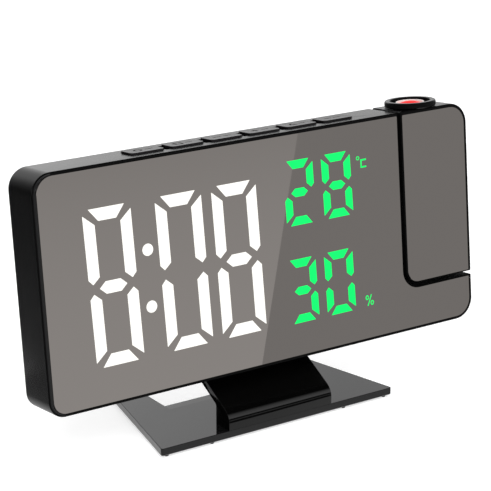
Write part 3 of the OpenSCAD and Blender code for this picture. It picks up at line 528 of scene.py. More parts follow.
def moulded(name, colour, roughness, scale=2600, depth=0.006, spread=0.06, wear=0.12, dust=0.008,
            spark=False, **plain):
    """Moulded plastic: grain or spark texture, rubbed edges and a little dust."""
    material, tree, shader = new_material(name, colour, roughness, **plain)
    if spark:
        surface = place_group(tree, spark_group, scale=scale, roughness=roughness)
    else:
        surface = place_group(tree, grain_group, scale=scale, roughness=roughness, spread=spread)
    worn_and_dusty(tree, shader, colour, wear, dust, specks=900)
    tree.links.new(surface.outputs["Roughness"], shader.inputs["Roughness"])
    bump(tree, shader, surface.outputs["Height"], depth)
    return material


def polished(name, colour, clean, smeared, wear=0.12, **plain):
    """Polished plastic: smears in the gloss, specks of dust and faintly rubbed edges."""
    material, tree, shader = new_material(name, colour, clean, **plain)
    smears = place_group(tree, smear_group, clean=clean, smeared=smeared)
    worn_and_dusty(tree, shader, colour, wear, dust=0.01, specks=1100)
    tree.links.new(smears.outputs["Roughness"], shader.inputs["Roughness"])
    bump(tree, shader, smears.outputs["Height"], 0.01)
    return material


def metal(name, colour, roughness, along=120, across=4000):
    """Turned, drawn or stamped metal: tool lines, and edges rubbed through a dull skin."""
    material, tree, shader = new_material(name, colour, roughness, metallic=1.0)
    lines = place_group(tree, line_group, along=along, across=across, roughness=roughness)
    worn = place_group(tree, wear_group, amount=0.4, radius=0.00025)
    paler = tuple(min(1.0, c * 1.4 + 0.05) for c in colour)
    tarnished = tuple(0.8 * c + 0.2 * TARNISH for c in colour)
    dull = tint(tree, colour, tarnished, lines.outputs["Height"])
    tree.links.new(tint(tree, dull, paler, worn.outputs["Mask"]), shader.inputs["Base Color"])
    tree.links.new(lines.outputs["Roughness"], shader.inputs["Roughness"])
    bump(tree, shader, lines.outputs["Height"], 0.004)
    return material


print("builders ready")

# %% The plastics
case_black = moulded("case_black", (0.0042, 0.0042, 0.0044), 0.2, wear=0.03, IOR=1.5)
# Painted shade: a darker, matt black for faces that little light reaches
shade_painted_black = moulded("shade_painted_black", (0.0015, 0.0015, 0.0016), 0.7, wear=0.0, dust=0.0,
                     specular_ior_level=0.15)
cover_black = moulded("cover_black", (0.012, 0.012, 0.0125), 0.52, scale=1500, depth=0.03, spark=True)
key_black = moulded("key_black", (0.004, 0.004, 0.0042), 0.24, scale=3200)
carrier_black = moulded("carrier_black", (0.012, 0.012, 0.012), 0.5, scale=1200, depth=0.01)
ring_black = moulded("ring_black", (0.003, 0.003, 0.0032), 0.22, scale=3400, wear=0.05)
tube_black = moulded("tube_black", (0.01, 0.01, 0.01), 0.42, scale=1800)
switch_grey = moulded("switch_grey", (0.1, 0.105, 0.115), 0.4, scale=1800)
chip_black = moulded("chip_black", (0.012, 0.012, 0.014), 0.6, scale=2600, depth=0.015)
nylon_pale = moulded("nylon_pale", (0.6, 0.6, 0.56), 0.35, subsurface_weight=0.15)
barrel_pale = moulded("barrel_pale", (0.72, 0.66, 0.64), 0.3, scale=3000, depth=0.004, wear=0.1)
foot_rubber = moulded("foot_rubber", (0.008, 0.008, 0.008), 0.75, scale=900, depth=0.03)
plate_gloss = polished("plate_gloss", (0.0045, 0.0045, 0.0047), 0.06, 0.14, IOR=1.5)
bracket_gloss = polished("bracket_gloss", (0.0012, 0.0012, 0.0012), 0.08, 0.16, wear=0.02)
unlit_gloss = polished("unlit_gloss", (0.02, 0.02, 0.02), 0.2, 0.3)
slide_dark = polished("slide_dark", (0.01, 0.016, 0.02), 0.1, 0.18)
print("plastics:", finishes)

# %% [markdown]
# ## Metals
# Screws, the hollow hinge shaft, the cell and the brass contacts are metal all through, so
# they are fully metallic and take their colour from the metal. The tool lines run round
# the shaft, as a lathe leaves them, and are short on a screw's head.

# %% The metals
screw_black = metal("screw_black", (0.05, 0.05, 0.055), 0.42, along=900, across=2500)
screw_zinc = metal("screw_zinc", (0.62, 0.62, 0.6), 0.34, along=900, across=2500)
shaft_steel = metal("shaft_steel", (0.66, 0.66, 0.66), 0.22, along=4000, across=200)
cell_steel = metal("cell_steel", (0.72, 0.72, 0.7), 0.26)
brass = metal("brass", (0.72, 0.53, 0.24), 0.28, along=3500, across=300)
speaker_steel = metal("speaker_steel", (0.28, 0.28, 0.29), 0.45, along=700, across=900)
print("plastics and metals:", len(finishes))

# %% [markdown]
# ## Solder mask
# A circuit board is green because of the lacquer over its copper. The tracks show as
# slightly lighter, raised bands under the lacquer. A brick pattern with its rows set off
# gives such bands without drawing a real circuit.

# %% Board
LACQUER, OVER_COPPER = (0.012, 0.1, 0.035), (0.03, 0.17, 0.06)


def solder_mask():
    """Green lacquer with a clear gloss, lighter and raised over the copper."""
    material, tree, shader = new_material("solder_mask", LACQUER, 0.3, coat_weight=0.5)
    tracks = put(tree, "TexBrick", offset=0.37, scale=260, mortar_size=0.03)
    tree.links.new(object_place(tree), tracks.inputs["Vector"])
    surface = place_group(tree, grain_group, scale=1500, roughness=0.3)
    tree.links.new(tint(tree, LACQUER, OVER_COPPER, tracks.outputs["Fac"]), shader.inputs["Base Color"])
    tree.links.new(surface.outputs["Roughness"], shader.inputs["Roughness"])
    bump(tree, shader, tracks.outputs["Fac"], 0.03)
    return material


solder_green = solder_mask()
print("board finish:", solder_green.name)

# %% [markdown]
# ## The tinted mirror
# The front is clear acrylic with a thin metal coat that lets only part of the light back.
# So it is a metal whose colour is its dim reflectance, slightly warm, with a very low
# roughness. What it shows comes from the studio around it, not from a picture. Faint
# smears keep it from looking like a computer's perfect mirror.

# %% Mirror
MIRROR_TINT = (0.430, 0.397, 0.375)


def mirror_finish():
    """A dim warm metal coat under acrylic, with faint smears and a little dust."""
    material, tree, shader = new_material("mirror_tint", MIRROR_TINT, 0.02, metallic=1.0)
    smears = place_group(tree, smear_group, clean=0.012, smeared=0.035, scale=14)
    dusty = place_group(tree, dust_group, amount=0.1, specks=1500)
    tree.links.new(tint(tree, MIRROR_TINT, DUST, dusty.outputs["Mask"]), shader.inputs["Base Color"])
    tree.links.new(smears.outputs["Roughness"], shader.inputs["Roughness"])
    bump(tree, shader, smears.outputs["Height"], 0.002)
    return material


mirror_tint = mirror_finish()
print("mirror reflects", [round(share, 2) for share in MIRROR_TINT])

# %% [markdown]
# ## Lit parts
# A lit segment is a diffuser with lamps behind it: flat, bright and nearly even, a touch
# dimmer in places. The emission colour carries the pattern and the strength stays plain,
# so that the colour on the screen is the colour written here.

# %% Lit segments and the projector's lamp
def lit(name, colour, variation, **plain):
    """A diffuser that glows in that colour, a little uneven as real diffusers are."""
    material, tree, shader = new_material(name, tuple(0.2 * c for c in colour), 0.45,
                                          emission_strength=1.0, **plain)
    dimmer = tuple(c * (1 - variation) for c in colour)
    uneven = noise(tree, object_place(tree), 90, 3)
    tree.links.new(tint(tree, colour, dimmer, uneven), shader.inputs["Emission Color"])
    surface = place_group(tree, grain_group, scale=1800, roughness=0.45)
    tree.links.new(surface.outputs["Roughness"], shader.inputs["Roughness"])
    bump(tree, shader, surface.outputs["Height"], 0.004)
    return material


segment_white = lit("segment_white", (1.0, 0.985, 0.93), 0.03, specular_ior_level=0.2)
segment_green = lit("segment_green", (0.002, 0.955, 0.155), 0.03, specular_ior_level=0.2)
lamp_white = lit("lamp_white", (0.82, 0.80, 0.74), 0.2)
print("lit parts: white and green segments, and the projector's lamp")

# %% [markdown]
# ## Lenses
# The projection lens is clear, and red light from the slide behind it fills it. That light is
# painted on the lens as a glow: deep red in the middle, pale at the rim where the barrel would
# show through. A colour ramp over the distance from its middle draws that. The condenser
# inside the arm is plain pressed glass.

# %% Lens finishes
# Share of the lens's radius, and the colour of the painted glow there
LENS_GLOW_STOPS = ((0.0, (0.8, 0.01, 0.01)), (0.68, (0.68, 0.015, 0.015)),
              (0.82, (0.62, 0.1, 0.1)), (1.0, (0.66, 0.52, 0.5)))


def painted_glow_lens():
    """Clear moulded lens with the light inside it painted on as a glow: red in the middle, pale pink at the
    rim.
    """
    material, tree, shader = new_material("lens_red", (0.3, 0.02, 0.02), 0.12, emission_strength=1.0,
                                          specular_ior_level=0.01)
    low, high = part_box("projection_lens")
    away = put(tree, "VectorMath", operation="DISTANCE")
    away.inputs[1].default_value = (low + high) / 2
    tree.links.new(object_place(tree), away.inputs[0])
    ramp = put(tree, "ValToRGB")
    for i, (at, colour) in enumerate(LENS_GLOW_STOPS):
        stop = ramp.color_ramp.elements[i] if i < 2 else ramp.color_ramp.elements.new(at)
        stop.position, stop.color = at, (*colour, 1)
    reach = math_node(tree, "DIVIDE", away.outputs["Value"], 0.5 * (high.x - low.x))
    tree.links.new(reach, ramp.inputs[0])
    tree.links.new(ramp.outputs[0], shader.inputs["Emission Color"])
    surface = place_group(tree, smear_group, clean=0.05, smeared=0.12, scale=80)
    tree.links.new(surface.outputs["Roughness"], shader.inputs["Roughness"])
    return material


def clear_lens():
    """Plain pressed glass."""
    material, tree, shader = new_material("lens_clear", (0.9, 0.95, 0.97), 0.03,
                                          transmission_weight=0.9, IOR=1.5)
    surface = place_group(tree, smear_group, clean=0.02, smeared=0.08, scale=60)
    tree.links.new(surface.outputs["Roughness"], shader.inputs["Roughness"])
    return material


lens_red, lens_clear = painted_glow_lens(), clear_lens()
print("finishes in all:", len(finishes))

# %% [markdown]
# ## Who carries what
# A new piece takes the place of a frame node, so it has to move with the same body. The
# body is read from the record, so that no piece can end up on the wrong body by a slip of the pen.

# %% Dressing helpers
body_of = {node: body for body, names in frame["record"]["behaviour"]["bodies"].items() for node in names}
visible_pieces = []


def dress(piece, node, finish):
    """The piece stands for a node: it rides its body and wears a finish."""
    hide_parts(node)
    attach(piece, body_of[node])
    piece.data.materials.clear()
    piece.data.materials.append(finish)
    visible_pieces.append(piece.name)


def joined(name, pieces):
    """One piece made of several that share a node; the parts stay separate solids."""
    bm = bmesh.new()
    for piece in pieces:
        bm.from_mesh(piece.data)
        bpy.data.objects.remove(piece)
    mesh = bpy.data.meshes.new(name)
    bm.to_mesh(mesh)
    bm.free()
    whole = bpy.data.objects.new(name, mesh)
    bpy.context.scene.collection.objects.link(whole)
    return whole


def in_plan(p, height):
    """Sets an outline drawn as (across, behind) at a height."""
    return (p.x, p.y, height)


def in_section(p, x):
    """Sets an outline drawn as (behind, up) at a place across."""
    return (x, p.x, p.y)


def rod(centre, axis, low, high, radius, steps=64, place=leaning):
    """A plain round cutter along an axis, 0, 1 or 2, through centre."""
    bm = bmesh.new()
    rings = []
    for at in (low, high):
        ring = []
        for k in range(steps):
            a = 2 * math.pi * k / steps
            point = list(centre)
            point[axis] = at
            point[(axis + 1) % 3] += radius * math.cos(a)
            point[(axis + 2) % 3] += radius * math.sin(a)
            ring.append(point)
        rings.append(ring)
    skin(bm, rings)
    return as_object(bm, "cutter", place)


# %% [markdown]
# ## The painted shade in the seam
# The walls that face each other across the seam, and the rim round the mirror, see next to
# no light on the real clock: they stay black where the case beside them is grey. They are
# picked by where a face is and which way it looks, and get a painted shade, a darker matt
# black, as the piece's second material. A darker case all over would lose the grey sheen of its top and
# edges.

# %% Faces with painted shade
SEAM_REACH, BEND_REACH, LEFT_END = 0.8, 7, 9


def paint_shade_on_faces(piece, test):
    """Paints shade on the faces that the test picks by centre and normal, drawn in millimetres: they get
    the darker matt black.
    """
    piece.data.materials.append(shade_painted_black)
    upright_again = leaning.inverted()
    turn_back = upright_again.to_3x3()
    for face in piece.data.polygons:
        if test(upright_again @ face.center, (turn_back @ face.normal).normalized()):
            face.material_index = 1


def in_seam(at, normal):
    """The walls beside the seam, under the arm and round the bend between the two."""
    if at.x <= SEAM_LEFT - SEAM_REACH or at.z <= SHELF_H - SEAM_REACH:
        return False
    on_top = at.z >= BODY_H - 1
    beside = at.x < ARM_LEFT + SEAM_REACH and abs(normal.x) > (0.9 if on_top else 0.3)
    under = at.z < ARM_LOW + SEAM_REACH and abs(normal.z) > 0.3
    bend = at.x < ARM_LEFT + BEND_REACH and at.z < ARM_LOW + BEND_REACH and abs(normal.y) < 0.7
    return beside or under or bend


def on_rim(at, normal):
    """The front rim and its rounding, which get the painted shade; at the left end, where light reaches it,
    only the rounding.
    """
    if at.y >= EDGE_R:
        return False
    if at.x < LEFT_END - HALF_W:
        return -0.97 < normal.y < -0.2
    return at.x > LEFT_END - HALF_W and normal.y < -0.35


def seam_or_rim(at, normal):
    """Every part of a shell that gets the painted shade."""
    return in_seam(at, normal) or on_rim(at, normal)


print("matt within", SEAM_REACH, "mm of the seam")

# %% [markdown]
# ## Front shell
# The case is one moulding: a narrow rim round the mirror, soft outer edges, thin walls
# and a ledge inside that the mirror is glued to. Its profile goes once round the wall's
# section and closes on itself. The six button windows, the shallow relief to the left of
# five of them and the hinge's hole are cut afterwards, because they break the even section.

# %% Sizes of the front shell
HINGE_H = (ARM_LOW + BODY_H) / 2
HINGE_HOLE_R, SHAFT_HOLE_R, NECK_HOLE_R = 5.1, 3.55, 6.7
THROUGH = 3  # deep enough to go through a wall
LEDGE_IN, LEDGE_BACK = WALL + 2.2, MIRROR_T + 1.6
KEYS, KEY_PITCH, KEY_FIRST, KEY_GAP = 6, 16.6, -45.9, 0.3
KEY_W, KEY_D, KEY_UP, KEY_R = 13.6, 8.6, 0.68, 1.5
RELIEF_W, RELIEF_UNDER, RELIEF_DEEP, RELIEF_SIDE, RELIEF_R = 2.5, 1.6, 1.0, 0.1, 0.3
LENS_X = HALF_W - 20.4
front_round = list(reversed(rounding(EDGE_R)))
back_round = [(inset, BODY_D - depth) for inset, depth in rounding(EDGE_R)]
shell_section = ([(LEDGE_IN, 0)] + front_round + back_round
                 + [(WALL, BODY_D), (WALL, LEDGE_BACK), (LEDGE_IN, LEDGE_BACK)])


def recess(corners):
    """Cutter for the mirror's seat, with a hair of chamfer at the rim."""
    return lofted("cutter", with_rim(corners, 0), [(-0.1, -0.6), (-0.1, 0), (0, 0.1), (0, MIRROR_T)])


def key_x(i):
    """How far across key i's middle is."""
    return KEY_FIRST + i * KEY_PITCH


def key_corners(i, grow=0.0):
    """Rounded rectangle of one key in plan, let out by grow."""
    return box_corners(key_x(i) - KEY_W / 2 - grow, MID - KEY_D / 2 - grow,
                       key_x(i) + KEY_W / 2 + grow, MID + KEY_D / 2 + grow, KEY_R + grow)


def from_top(corners, depth):
    """A cutter that sinks an outline drawn in plan into the top face."""
    return lofted("cutter", corners, [(0, BODY_H - depth), (0, BODY_H + PAST)], across=in_plan)


def relief(i):
    """The shallow step beside key i; it ends under the key's own left edge."""
    left, half = key_x(i) - KEY_W / 2, KEY_D / 2 - RELIEF_SIDE
    corners = box_corners(left - RELIEF_W, MID - half, left + RELIEF_UNDER, MID + half, RELIEF_R)
    return from_top(corners, RELIEF_DEEP)


print("keys from", key_x(0), "to", key_x(KEYS - 1))

# %% Front shell
shell = lofted("front_shell", BODY, shell_section, closed=True)
windows = [from_top(key_corners(i, KEY_GAP), THROUGH) for i in range(KEYS)]
reliefs = [relief(i) for i in range(1, KEYS)]
cut(shell, recess(BODY), joined("cutter", windows), joined("cutter", reliefs),
    rod((0, MID, HINGE_H), 0, SEAM_LEFT - THROUGH, SEAM_LEFT + PAST, HINGE_HOLE_R))
soften(shell, 0.12)
dress(shell, "front_frame", case_black)
# The seam walls and the mirror's rim get the painted shade.
paint_shade_on_faces(shell, seam_or_rim)
print("front shell:", len(shell.data.polygons), "faces")

# %% [markdown]
# ## Arm shell
# The projector arm is the same moulding in small, with a hole in its top wall for the
# focus ring and one in its side for the hinge shaft.

# %% Arm shell
arm = lofted("arm_shell", ARM, shell_section, closed=True)
cut(arm, recess(ARM), rod((LENS_X, MID, 0), 2, BODY_H - THROUGH, BODY_H + PAST, NECK_HOLE_R),
    rod((0, MID, HINGE_H), 0, ARM_LEFT - PAST, ARM_LEFT + THROUGH, SHAFT_HOLE_R))
soften(arm, 0.12)
dress(arm, "arm_frame", case_black)
# The seam walls and the mirror's rim get the painted shade.
paint_shade_on_faces(arm, seam_or_rim)
print("arm shell:", len(arm.data.polygons), "faces")

# %% [markdown]
# ## Mirrors
# Each mirror is a plate of acrylic with a hair of chamfer, set flush in its rim. The
# chamfer matters: it is the thin line of light that shows where the plate ends.

# %% Mirror plates
FIT = 0.1
mirror_section = [(0.04, 0), (0, 0.04), (0, MIRROR_T)]
dress(lofted("mirror_plate", with_rim(BODY, FIT), mirror_section), "mirror_panel", mirror_tint)
dress(lofted("arm_mirror_plate", with_rim(ARM, FIT), mirror_section), "arm_mirror", mirror_tint)
print("mirrors let in with", FIT, "mm of play all round")

# %% [markdown]
# ## Numerals
# The digits are seven-segment ones with mitred ends, as the light box behind the mirror
# masks them. Each segment is drawn once in strokes of its digit, mirrored to its place and
# leant a little, as the digits of such displays are. They lie as thin lit inlays at the
# face of the mirror, because a half-silvered front makes the light seem to sit in it.

# %% Segment shapes
# Where the mitres fall, in strokes: on the top segment, on an upright one and on the middle bar
CAP_OUT, CAP_IN = 0.54, 1.34
TOP_OUT, TOP_IN, LOW_IN, TIP, LOW_OUT = 0.44, 1.28, 0.91, 0.38, 0.78
BAR_IN, BAR_SLOPE = 0.91, 0.56
SLANT = 0.024
INLAY_FRONT, INLAY_BACK, INLAY_EDGE = -0.03, 0.25, 0.02
# Lit segments: top, upper right, lower right, bottom, lower left, upper left, middle
NUMERALS = {"0": "1111110", "2": "1101101", "3": "1111001", "8": "1111111"}


def segments(numeral, x, z, w, h, t):
    """The lit segments of a digit centred on x and standing on z, as lists of points."""
    half = h / 2
    cap = [(CAP_OUT * t, half), (w - CAP_OUT * t, half), (w - CAP_IN * t, half - t),
           (CAP_IN * t, half - t)]
    upright = [(0, half - TOP_OUT * t), (t, half - TOP_IN * t), (t, LOW_IN * t),
               (TIP * t, TIP * t), (0, LOW_OUT * t)]
    start, slope = BAR_IN * t, BAR_IN * t + BAR_SLOPE * t
    bar = [(start, 0), (slope, t / 2), (w - slope, t / 2), (w - start, 0), (w - slope, -t / 2),
           (slope, -t / 2)]

    def flip(points, across, up):
        """An outline turned over across, up or both."""
        return [(w - px if across else px, -pz if up else pz) for px, pz in points]

    drawn = [cap, flip(upright, True, False), flip(upright, True, True), flip(cap, False, True),
             flip(upright, False, True), upright, bar]
    return [[(x - w / 2 + px - SLANT * pz, z + half + pz) for px, pz in points]
            for points, on in zip(drawn, NUMERALS[numeral]) if on == "1"]


def inlay(name, shapes, radius=0.1):
    """Thin plates through the mirror's face, one for each list of points."""
    pieces = []
    for points in shapes:
        area = sum(a[0] * b[1] - b[0] * a[1] for a, b in zip(points, points[1:] + points[:1]))
        ordered = points if area > 0 else points[::-1]
        section = [(INLAY_EDGE, INLAY_FRONT), (0, INLAY_FRONT + INLAY_EDGE), (0, INLAY_BACK)]
        pieces.append(lofted(name, [(x, z, radius) for x, z in ordered], section))
    return joined(name, pieces)


print("numerals known:", sorted(NUMERALS))

# %% The time
TIME = {"z": 14.3, "w": 19.2, "h": 56.6, "t": 4.5}
TIME_DIGITS = (("8", -66.5), ("0", -37.5), ("8", -14.0))
COLON_X, COLON_OFF, DOT_R, DOT_POINTS = -51.85, 10.3, 2.2, 28


def dot(x, z):
    """A round dot of the colon, as a list of points."""
    angles = [2 * math.pi * k / DOT_POINTS for k in range(DOT_POINTS)]
    return [(x + DOT_R * math.cos(a), z + DOT_R * math.sin(a)) for a in angles]


shapes = []
for numeral, x in TIME_DIGITS:
    shapes += segments(numeral, x, **TIME)
for side in (-1, 1):
    shapes.append(dot(COLON_X, TIME["z"] + TIME["h"] / 2 + side * COLON_OFF))
dress(inlay("time_lit", shapes), "time_digits", segment_white)
print("time:", len(shapes), "lit shapes")

# %% [markdown]
# ## The two readings
# The warmth and the damp of the room are shown in green, smaller, with their unit marks.
# The marks are masked in the light box too. A ring can't be one outline with a hole in it,
# so it is laid out of short tiles that meet edge to edge.

# %% Unit marks
UNIT_X, STROKE = 41.35, 0.6
RING_TILES = 16


def bar_shape(x, z, w, h):
    """An upright rectangle from its lower left corner."""
    return [(x, z), (x + w, z), (x + w, z + h), (x, z + h)]


def small_ring(x, z, outer, width, narrow=1.0):
    """A ring, or an upright oval, as short tiles."""
    tiles = []
    for k in range(RING_TILES):
        turn = [2 * math.pi * (k + step) / RING_TILES for step in (0, 0.5, 1)]
        rim = [(x + narrow * outer * math.cos(a), z + outer * math.sin(a)) for a in turn]
        bore = [(x + (narrow * outer - width) * math.cos(a), z + (outer - width) * math.sin(a))
                for a in turn]
        tiles.append(rim + bore[::-1])
    return tiles


def letter_c(x, z, w, h):
    """A square letter C from its lower left corner."""
    return [bar_shape(x, z, STROKE, h), bar_shape(x, z, w, STROKE), bar_shape(x, z + h - STROKE, w, STROKE)]


def slash(x, z, reach, up, width):
    """The slanting stroke of a percent mark, centred on (x, z)."""
    foot = [(x - reach, z - up), (x - reach + width, z - up)]
    return foot + [(2 * x - px, 2 * z - pz) for px, pz in foot]


print("unit marks at", UNIT_X)

# %% The readings
SMALL = {"w": 13.35, "h": 24.4, "t": 3.2}
WARM_X, DAMP_X, SMALL_PITCH = 14.2, 13.4, 17.2
WARM_TOP, DAMP_Z = BODY_H - 10.9, 13.6
WARM_Z = WARM_TOP - SMALL["h"]
LETTER = {"x": UNIT_X + 1.3, "z": WARM_TOP - 7.5, "w": 2.7, "h": 3.3}
DEGREE = {"x": UNIT_X + 0.1, "z": WARM_TOP - 3.6, "outer": 0.78, "width": 0.36}
PERCENT_X, PERCENT_Z, PERCENT_OFF = UNIT_X + 2.8, DAMP_Z + 2.45, 1.15
PERCENT_RING = {"outer": 0.95, "width": 0.42, "narrow": 0.82}

warm = segments("2", WARM_X, WARM_Z, **SMALL) + segments("8", WARM_X + SMALL_PITCH, WARM_Z, **SMALL)
warm += letter_c(**LETTER)
warm_rings = small_ring(**DEGREE)
damp = segments("3", DAMP_X, DAMP_Z, **SMALL) + segments("0", DAMP_X + SMALL_PITCH, DAMP_Z, **SMALL)
damp.append(slash(PERCENT_X, PERCENT_Z, PERCENT_OFF, up=2.15, width=0.5))
damp_rings = []
for side in (-1, 1):
    off = side * PERCENT_OFF
    damp_rings += small_ring(PERCENT_X - off, PERCENT_Z + off, **PERCENT_RING)
for node, bars, rings in (("temperature", warm, warm_rings), ("humidity", damp, damp_rings)):
    reading = joined(node + "_lit", [inlay("bars", bars), inlay("rings", rings, radius=0.001)])
    dress(reading, node + "_digits", segment_green)
print("readings:", len(warm) + len(damp), "bars and", len(warm_rings) + len(damp_rings), "tiles")

# %% [markdown]
# ## Keys
# Six caps stand just proud of the top face. Each has rounded corners, a soft top edge
# and a shallow dish for the finger. Under it are the two lips that keep it in and the
# stem that presses its switch. The signs are sunk and name nothing: a ring, a square, a
# minus, a plus and a triangle, each with a dash beside it, and two dashes on the last key.

# %% Cap section and cutters
CAP_LOW, CAP_TOP, CAP_EDGE = 83.3, BODY_H + KEY_UP, 0.12
DISH = [(1.1, 0.015), (1.9, 0.05), (2.9, 0.07)]
SIGN_W, SIGN_SIZE, SIGN_LEFT, SIGN_DEEP = 0.65, 3.4, 1.9, 0.3
SIGN_FLOOR = CAP_TOP - DISH[-1][1] - SIGN_DEEP
DASH_W, DASH_RIGHT, DOUBLE_W, DOUBLE_OFF = 3.0, 2.5, 3.2, 2.1
cap_section = ([(0, CAP_LOW)] + [(inset, CAP_TOP - depth) for inset, depth in rounding(CAP_EDGE)]
               + [(inset, CAP_TOP - depth) for inset, depth in DISH])


def hollow(corners):
    """A frame-shaped cutter between an outline and the same outline drawn in."""
    section = [(0, SIGN_FLOOR), (0, CAP_TOP + PAST), (SIGN_W, CAP_TOP + PAST), (SIGN_W, SIGN_FLOOR)]
    return lofted("cutter", corners, section, closed=True, across=in_plan)


def solid(x, w, d=SIGN_W):
    """A bar-shaped cutter, centred on x in the middle of the top face."""
    corners = box_corners(x - w / 2, MID - d / 2, x + w / 2, MID + d / 2, 0.15)
    return lofted("cutter", corners, [(0, SIGN_FLOOR), (0, CAP_TOP + PAST)], across=in_plan)


def square(x, radius):
    """Corners of a sign's square, or of its ring where the radius is nearly half the side."""
    half = SIGN_SIZE / 2
    return box_corners(x - half, MID - half, x + half, MID + half, radius)


def sign(i):
    """The cutters of key i's sign and of the dash beside it, in the middle of its cap."""
    x = key_x(i) - SIGN_LEFT
    if i == 5:
        return [solid(key_x(i) + side * DOUBLE_OFF, DOUBLE_W) for side in (-1, 1)]
    cutters = [solid(key_x(i) + DASH_RIGHT, DASH_W)]
    if i == 0:
        cutters.append(hollow(square(x, SIGN_SIZE / 2 - 0.01)))
    elif i == 1:
        cutters.append(hollow(square(x, 0.3)))
    elif i == 4:
        low = MID - 1.6
        cutters.append(hollow([(x - 2.0, low, 0.25), (x + 2.0, low, 0.25), (x, MID + 1.9, 0.25)]))
    else:
        cutters.append(solid(x, SIGN_SIZE))
    if i == 3:
        cutters.append(solid(x, SIGN_W, SIGN_SIZE))
    return cutters


print("caps rise to", CAP_TOP)

# %% Caps
LIP_HALF, LIP_SIDE, LIP_T = 7.7, 3.1, 0.8
STEM_Y, STEM_LOW, STEM_R = 11.3, 81.3, 1.8
key_nodes = ["mode_button", "set_button", "down_button", "up_button", "alarm_button", "snooze_button"]
for i, node in enumerate(key_nodes):
    name = node.replace("button", "key_cap")
    cap = lofted(name, key_corners(i), cap_section, across=in_plan)
    cut(cap, *sign(i))
    soften(cap, 0.03, segments=1, angle=50)
    lip_corners = box_corners(key_x(i) - LIP_HALF, MID - LIP_SIDE, key_x(i) + LIP_HALF, MID + LIP_SIDE, 0.1)
    lips = lofted("lips", lip_corners, [(0, CAP_LOW), (0, CAP_LOW + LIP_T)], across=in_plan)
    stem = rod((key_x(i), STEM_Y, 0), 2, STEM_LOW, CAP_LOW + 0.1, STEM_R, steps=32)
    dress(joined(name, [cap, lips, stem]), node, key_black)
print("keys:", len(key_nodes))

# %% [markdown]
# ## Focus ring, barrel and lens
# The ring stands on the arm's top face and turns in its wall; its rim is rounded so that
# a fingertip can roll it. Inside it the pale head of the barrel rises and falls, with the
# domed lens in its middle.

# %% Arcs of a turned section
def arc_profile(centre, radius, first, last, steps=6):
    """Points on an arc of a section, angles in degrees from straight out."""
    angles = [math.radians(first + (last - first) * k / steps) for k in range(steps + 1)]
    return [(centre[0] + radius * math.cos(a), centre[1] + radius * math.sin(a)) for a in angles]


lens_axis = (LENS_X, MID)
print("the ring turns round", lens_axis)

# %% Focus ring
RING_R, RECESS_R, RING_LOW, RING_TOP, RING_FLOOR = 9.9, 7.8, BODY_H + 0.2, BODY_H + 2.4, BODY_H + 0.7
BORE_R, SKIRT_R, LIP_R, LIP_LOW, LIP_TOP = 5.8, 6.6, 6.95, 83.3, 84.0
RIM_ROUND, RECESS_ROUND, RING_CHAMFER = 0.55, 0.3, 0.3
ring_section = ([(BORE_R, LIP_LOW), (LIP_R, LIP_LOW), (LIP_R, LIP_TOP), (SKIRT_R, LIP_TOP),
                 (SKIRT_R, RING_LOW), (RING_R - RING_CHAMFER, RING_LOW), (RING_R, RING_LOW + RING_CHAMFER)]
                + arc_profile((RING_R - RIM_ROUND, RING_TOP - RIM_ROUND), RIM_ROUND, 0, 90)
                + arc_profile((RECESS_R + RECESS_ROUND, RING_TOP - RECESS_ROUND), RECESS_ROUND, 90, 180)
                + [(RECESS_R, RING_FLOOR), (BORE_R, RING_FLOOR)])
ring = turned("focus_ring_turned", ring_section, lens_axis, steps=128)
dress(ring, "focus_ring", ring_black)
# The ring's sides get the painted shade, a darker matt black.
paint_shade_on_faces(ring, lambda at, normal: at.z < RING_TOP - 0.2 and abs(normal.z) < 0.5)
print("focus ring:", len(ring.data.polygons), "faces")

# %% Barrel and lens
HEAD_TOP, BARREL_R, BARREL_LOW, BARREL_BORE, HEAD_ROUND = BODY_H + 1.85, 5.5, BODY_H - 14, 4.4, 0.25
BEVEL_R, BEVEL_TOP, BEVEL_LOW = 5.1, 0.06, 0.3
LENS_R, LENS_SEAT, LENS_PLAY = 4.85, BODY_H - 0.3, 0.05
DOME_R, DOME_TOP, DOME_STEPS = 11.0, HEAD_TOP + 0.2, (LENS_R, 4.2, 3.4, 2.5, 1.6, 0.8, 0.05)
barrel_section = ([(BARREL_BORE, BARREL_LOW), (BARREL_R, BARREL_LOW)]
                  + arc_profile((BARREL_R - HEAD_ROUND, HEAD_TOP - HEAD_ROUND), HEAD_ROUND, 0, 90, 4)
                  + [(BEVEL_R, HEAD_TOP - BEVEL_TOP), (LENS_R + LENS_PLAY, HEAD_TOP - BEVEL_LOW),
                     (LENS_R + LENS_PLAY, LENS_SEAT), (BARREL_BORE, LENS_SEAT)])
dress(turned("barrel_turned", barrel_section, lens_axis, steps=112), "lens_barrel", barrel_pale)

dome = [(r, DOME_TOP - DOME_R + math.sqrt(DOME_R ** 2 - r ** 2)) for r in DOME_STEPS]
lens_section = [(LENS_R, LENS_SEAT)] + dome + [(DOME_STEPS[-1], LENS_SEAT)]
dress(turned("lens_dome", lens_section, lens_axis, steps=96), "projection_lens", lens_red)
print("lens dome rises to", DOME_TOP)

# %% [markdown]
# ## Stand
# The plate is a polished trapezoid with an open notch in its back edge, and the bracket
# is one bent wall: a foot block on the plate, a long slope under the body and a tongue
# behind it. The bracket is a section drawn from the side and run across, with every
# bend as an arc, so that the gloss flows over the bends as it does on the real moulding.

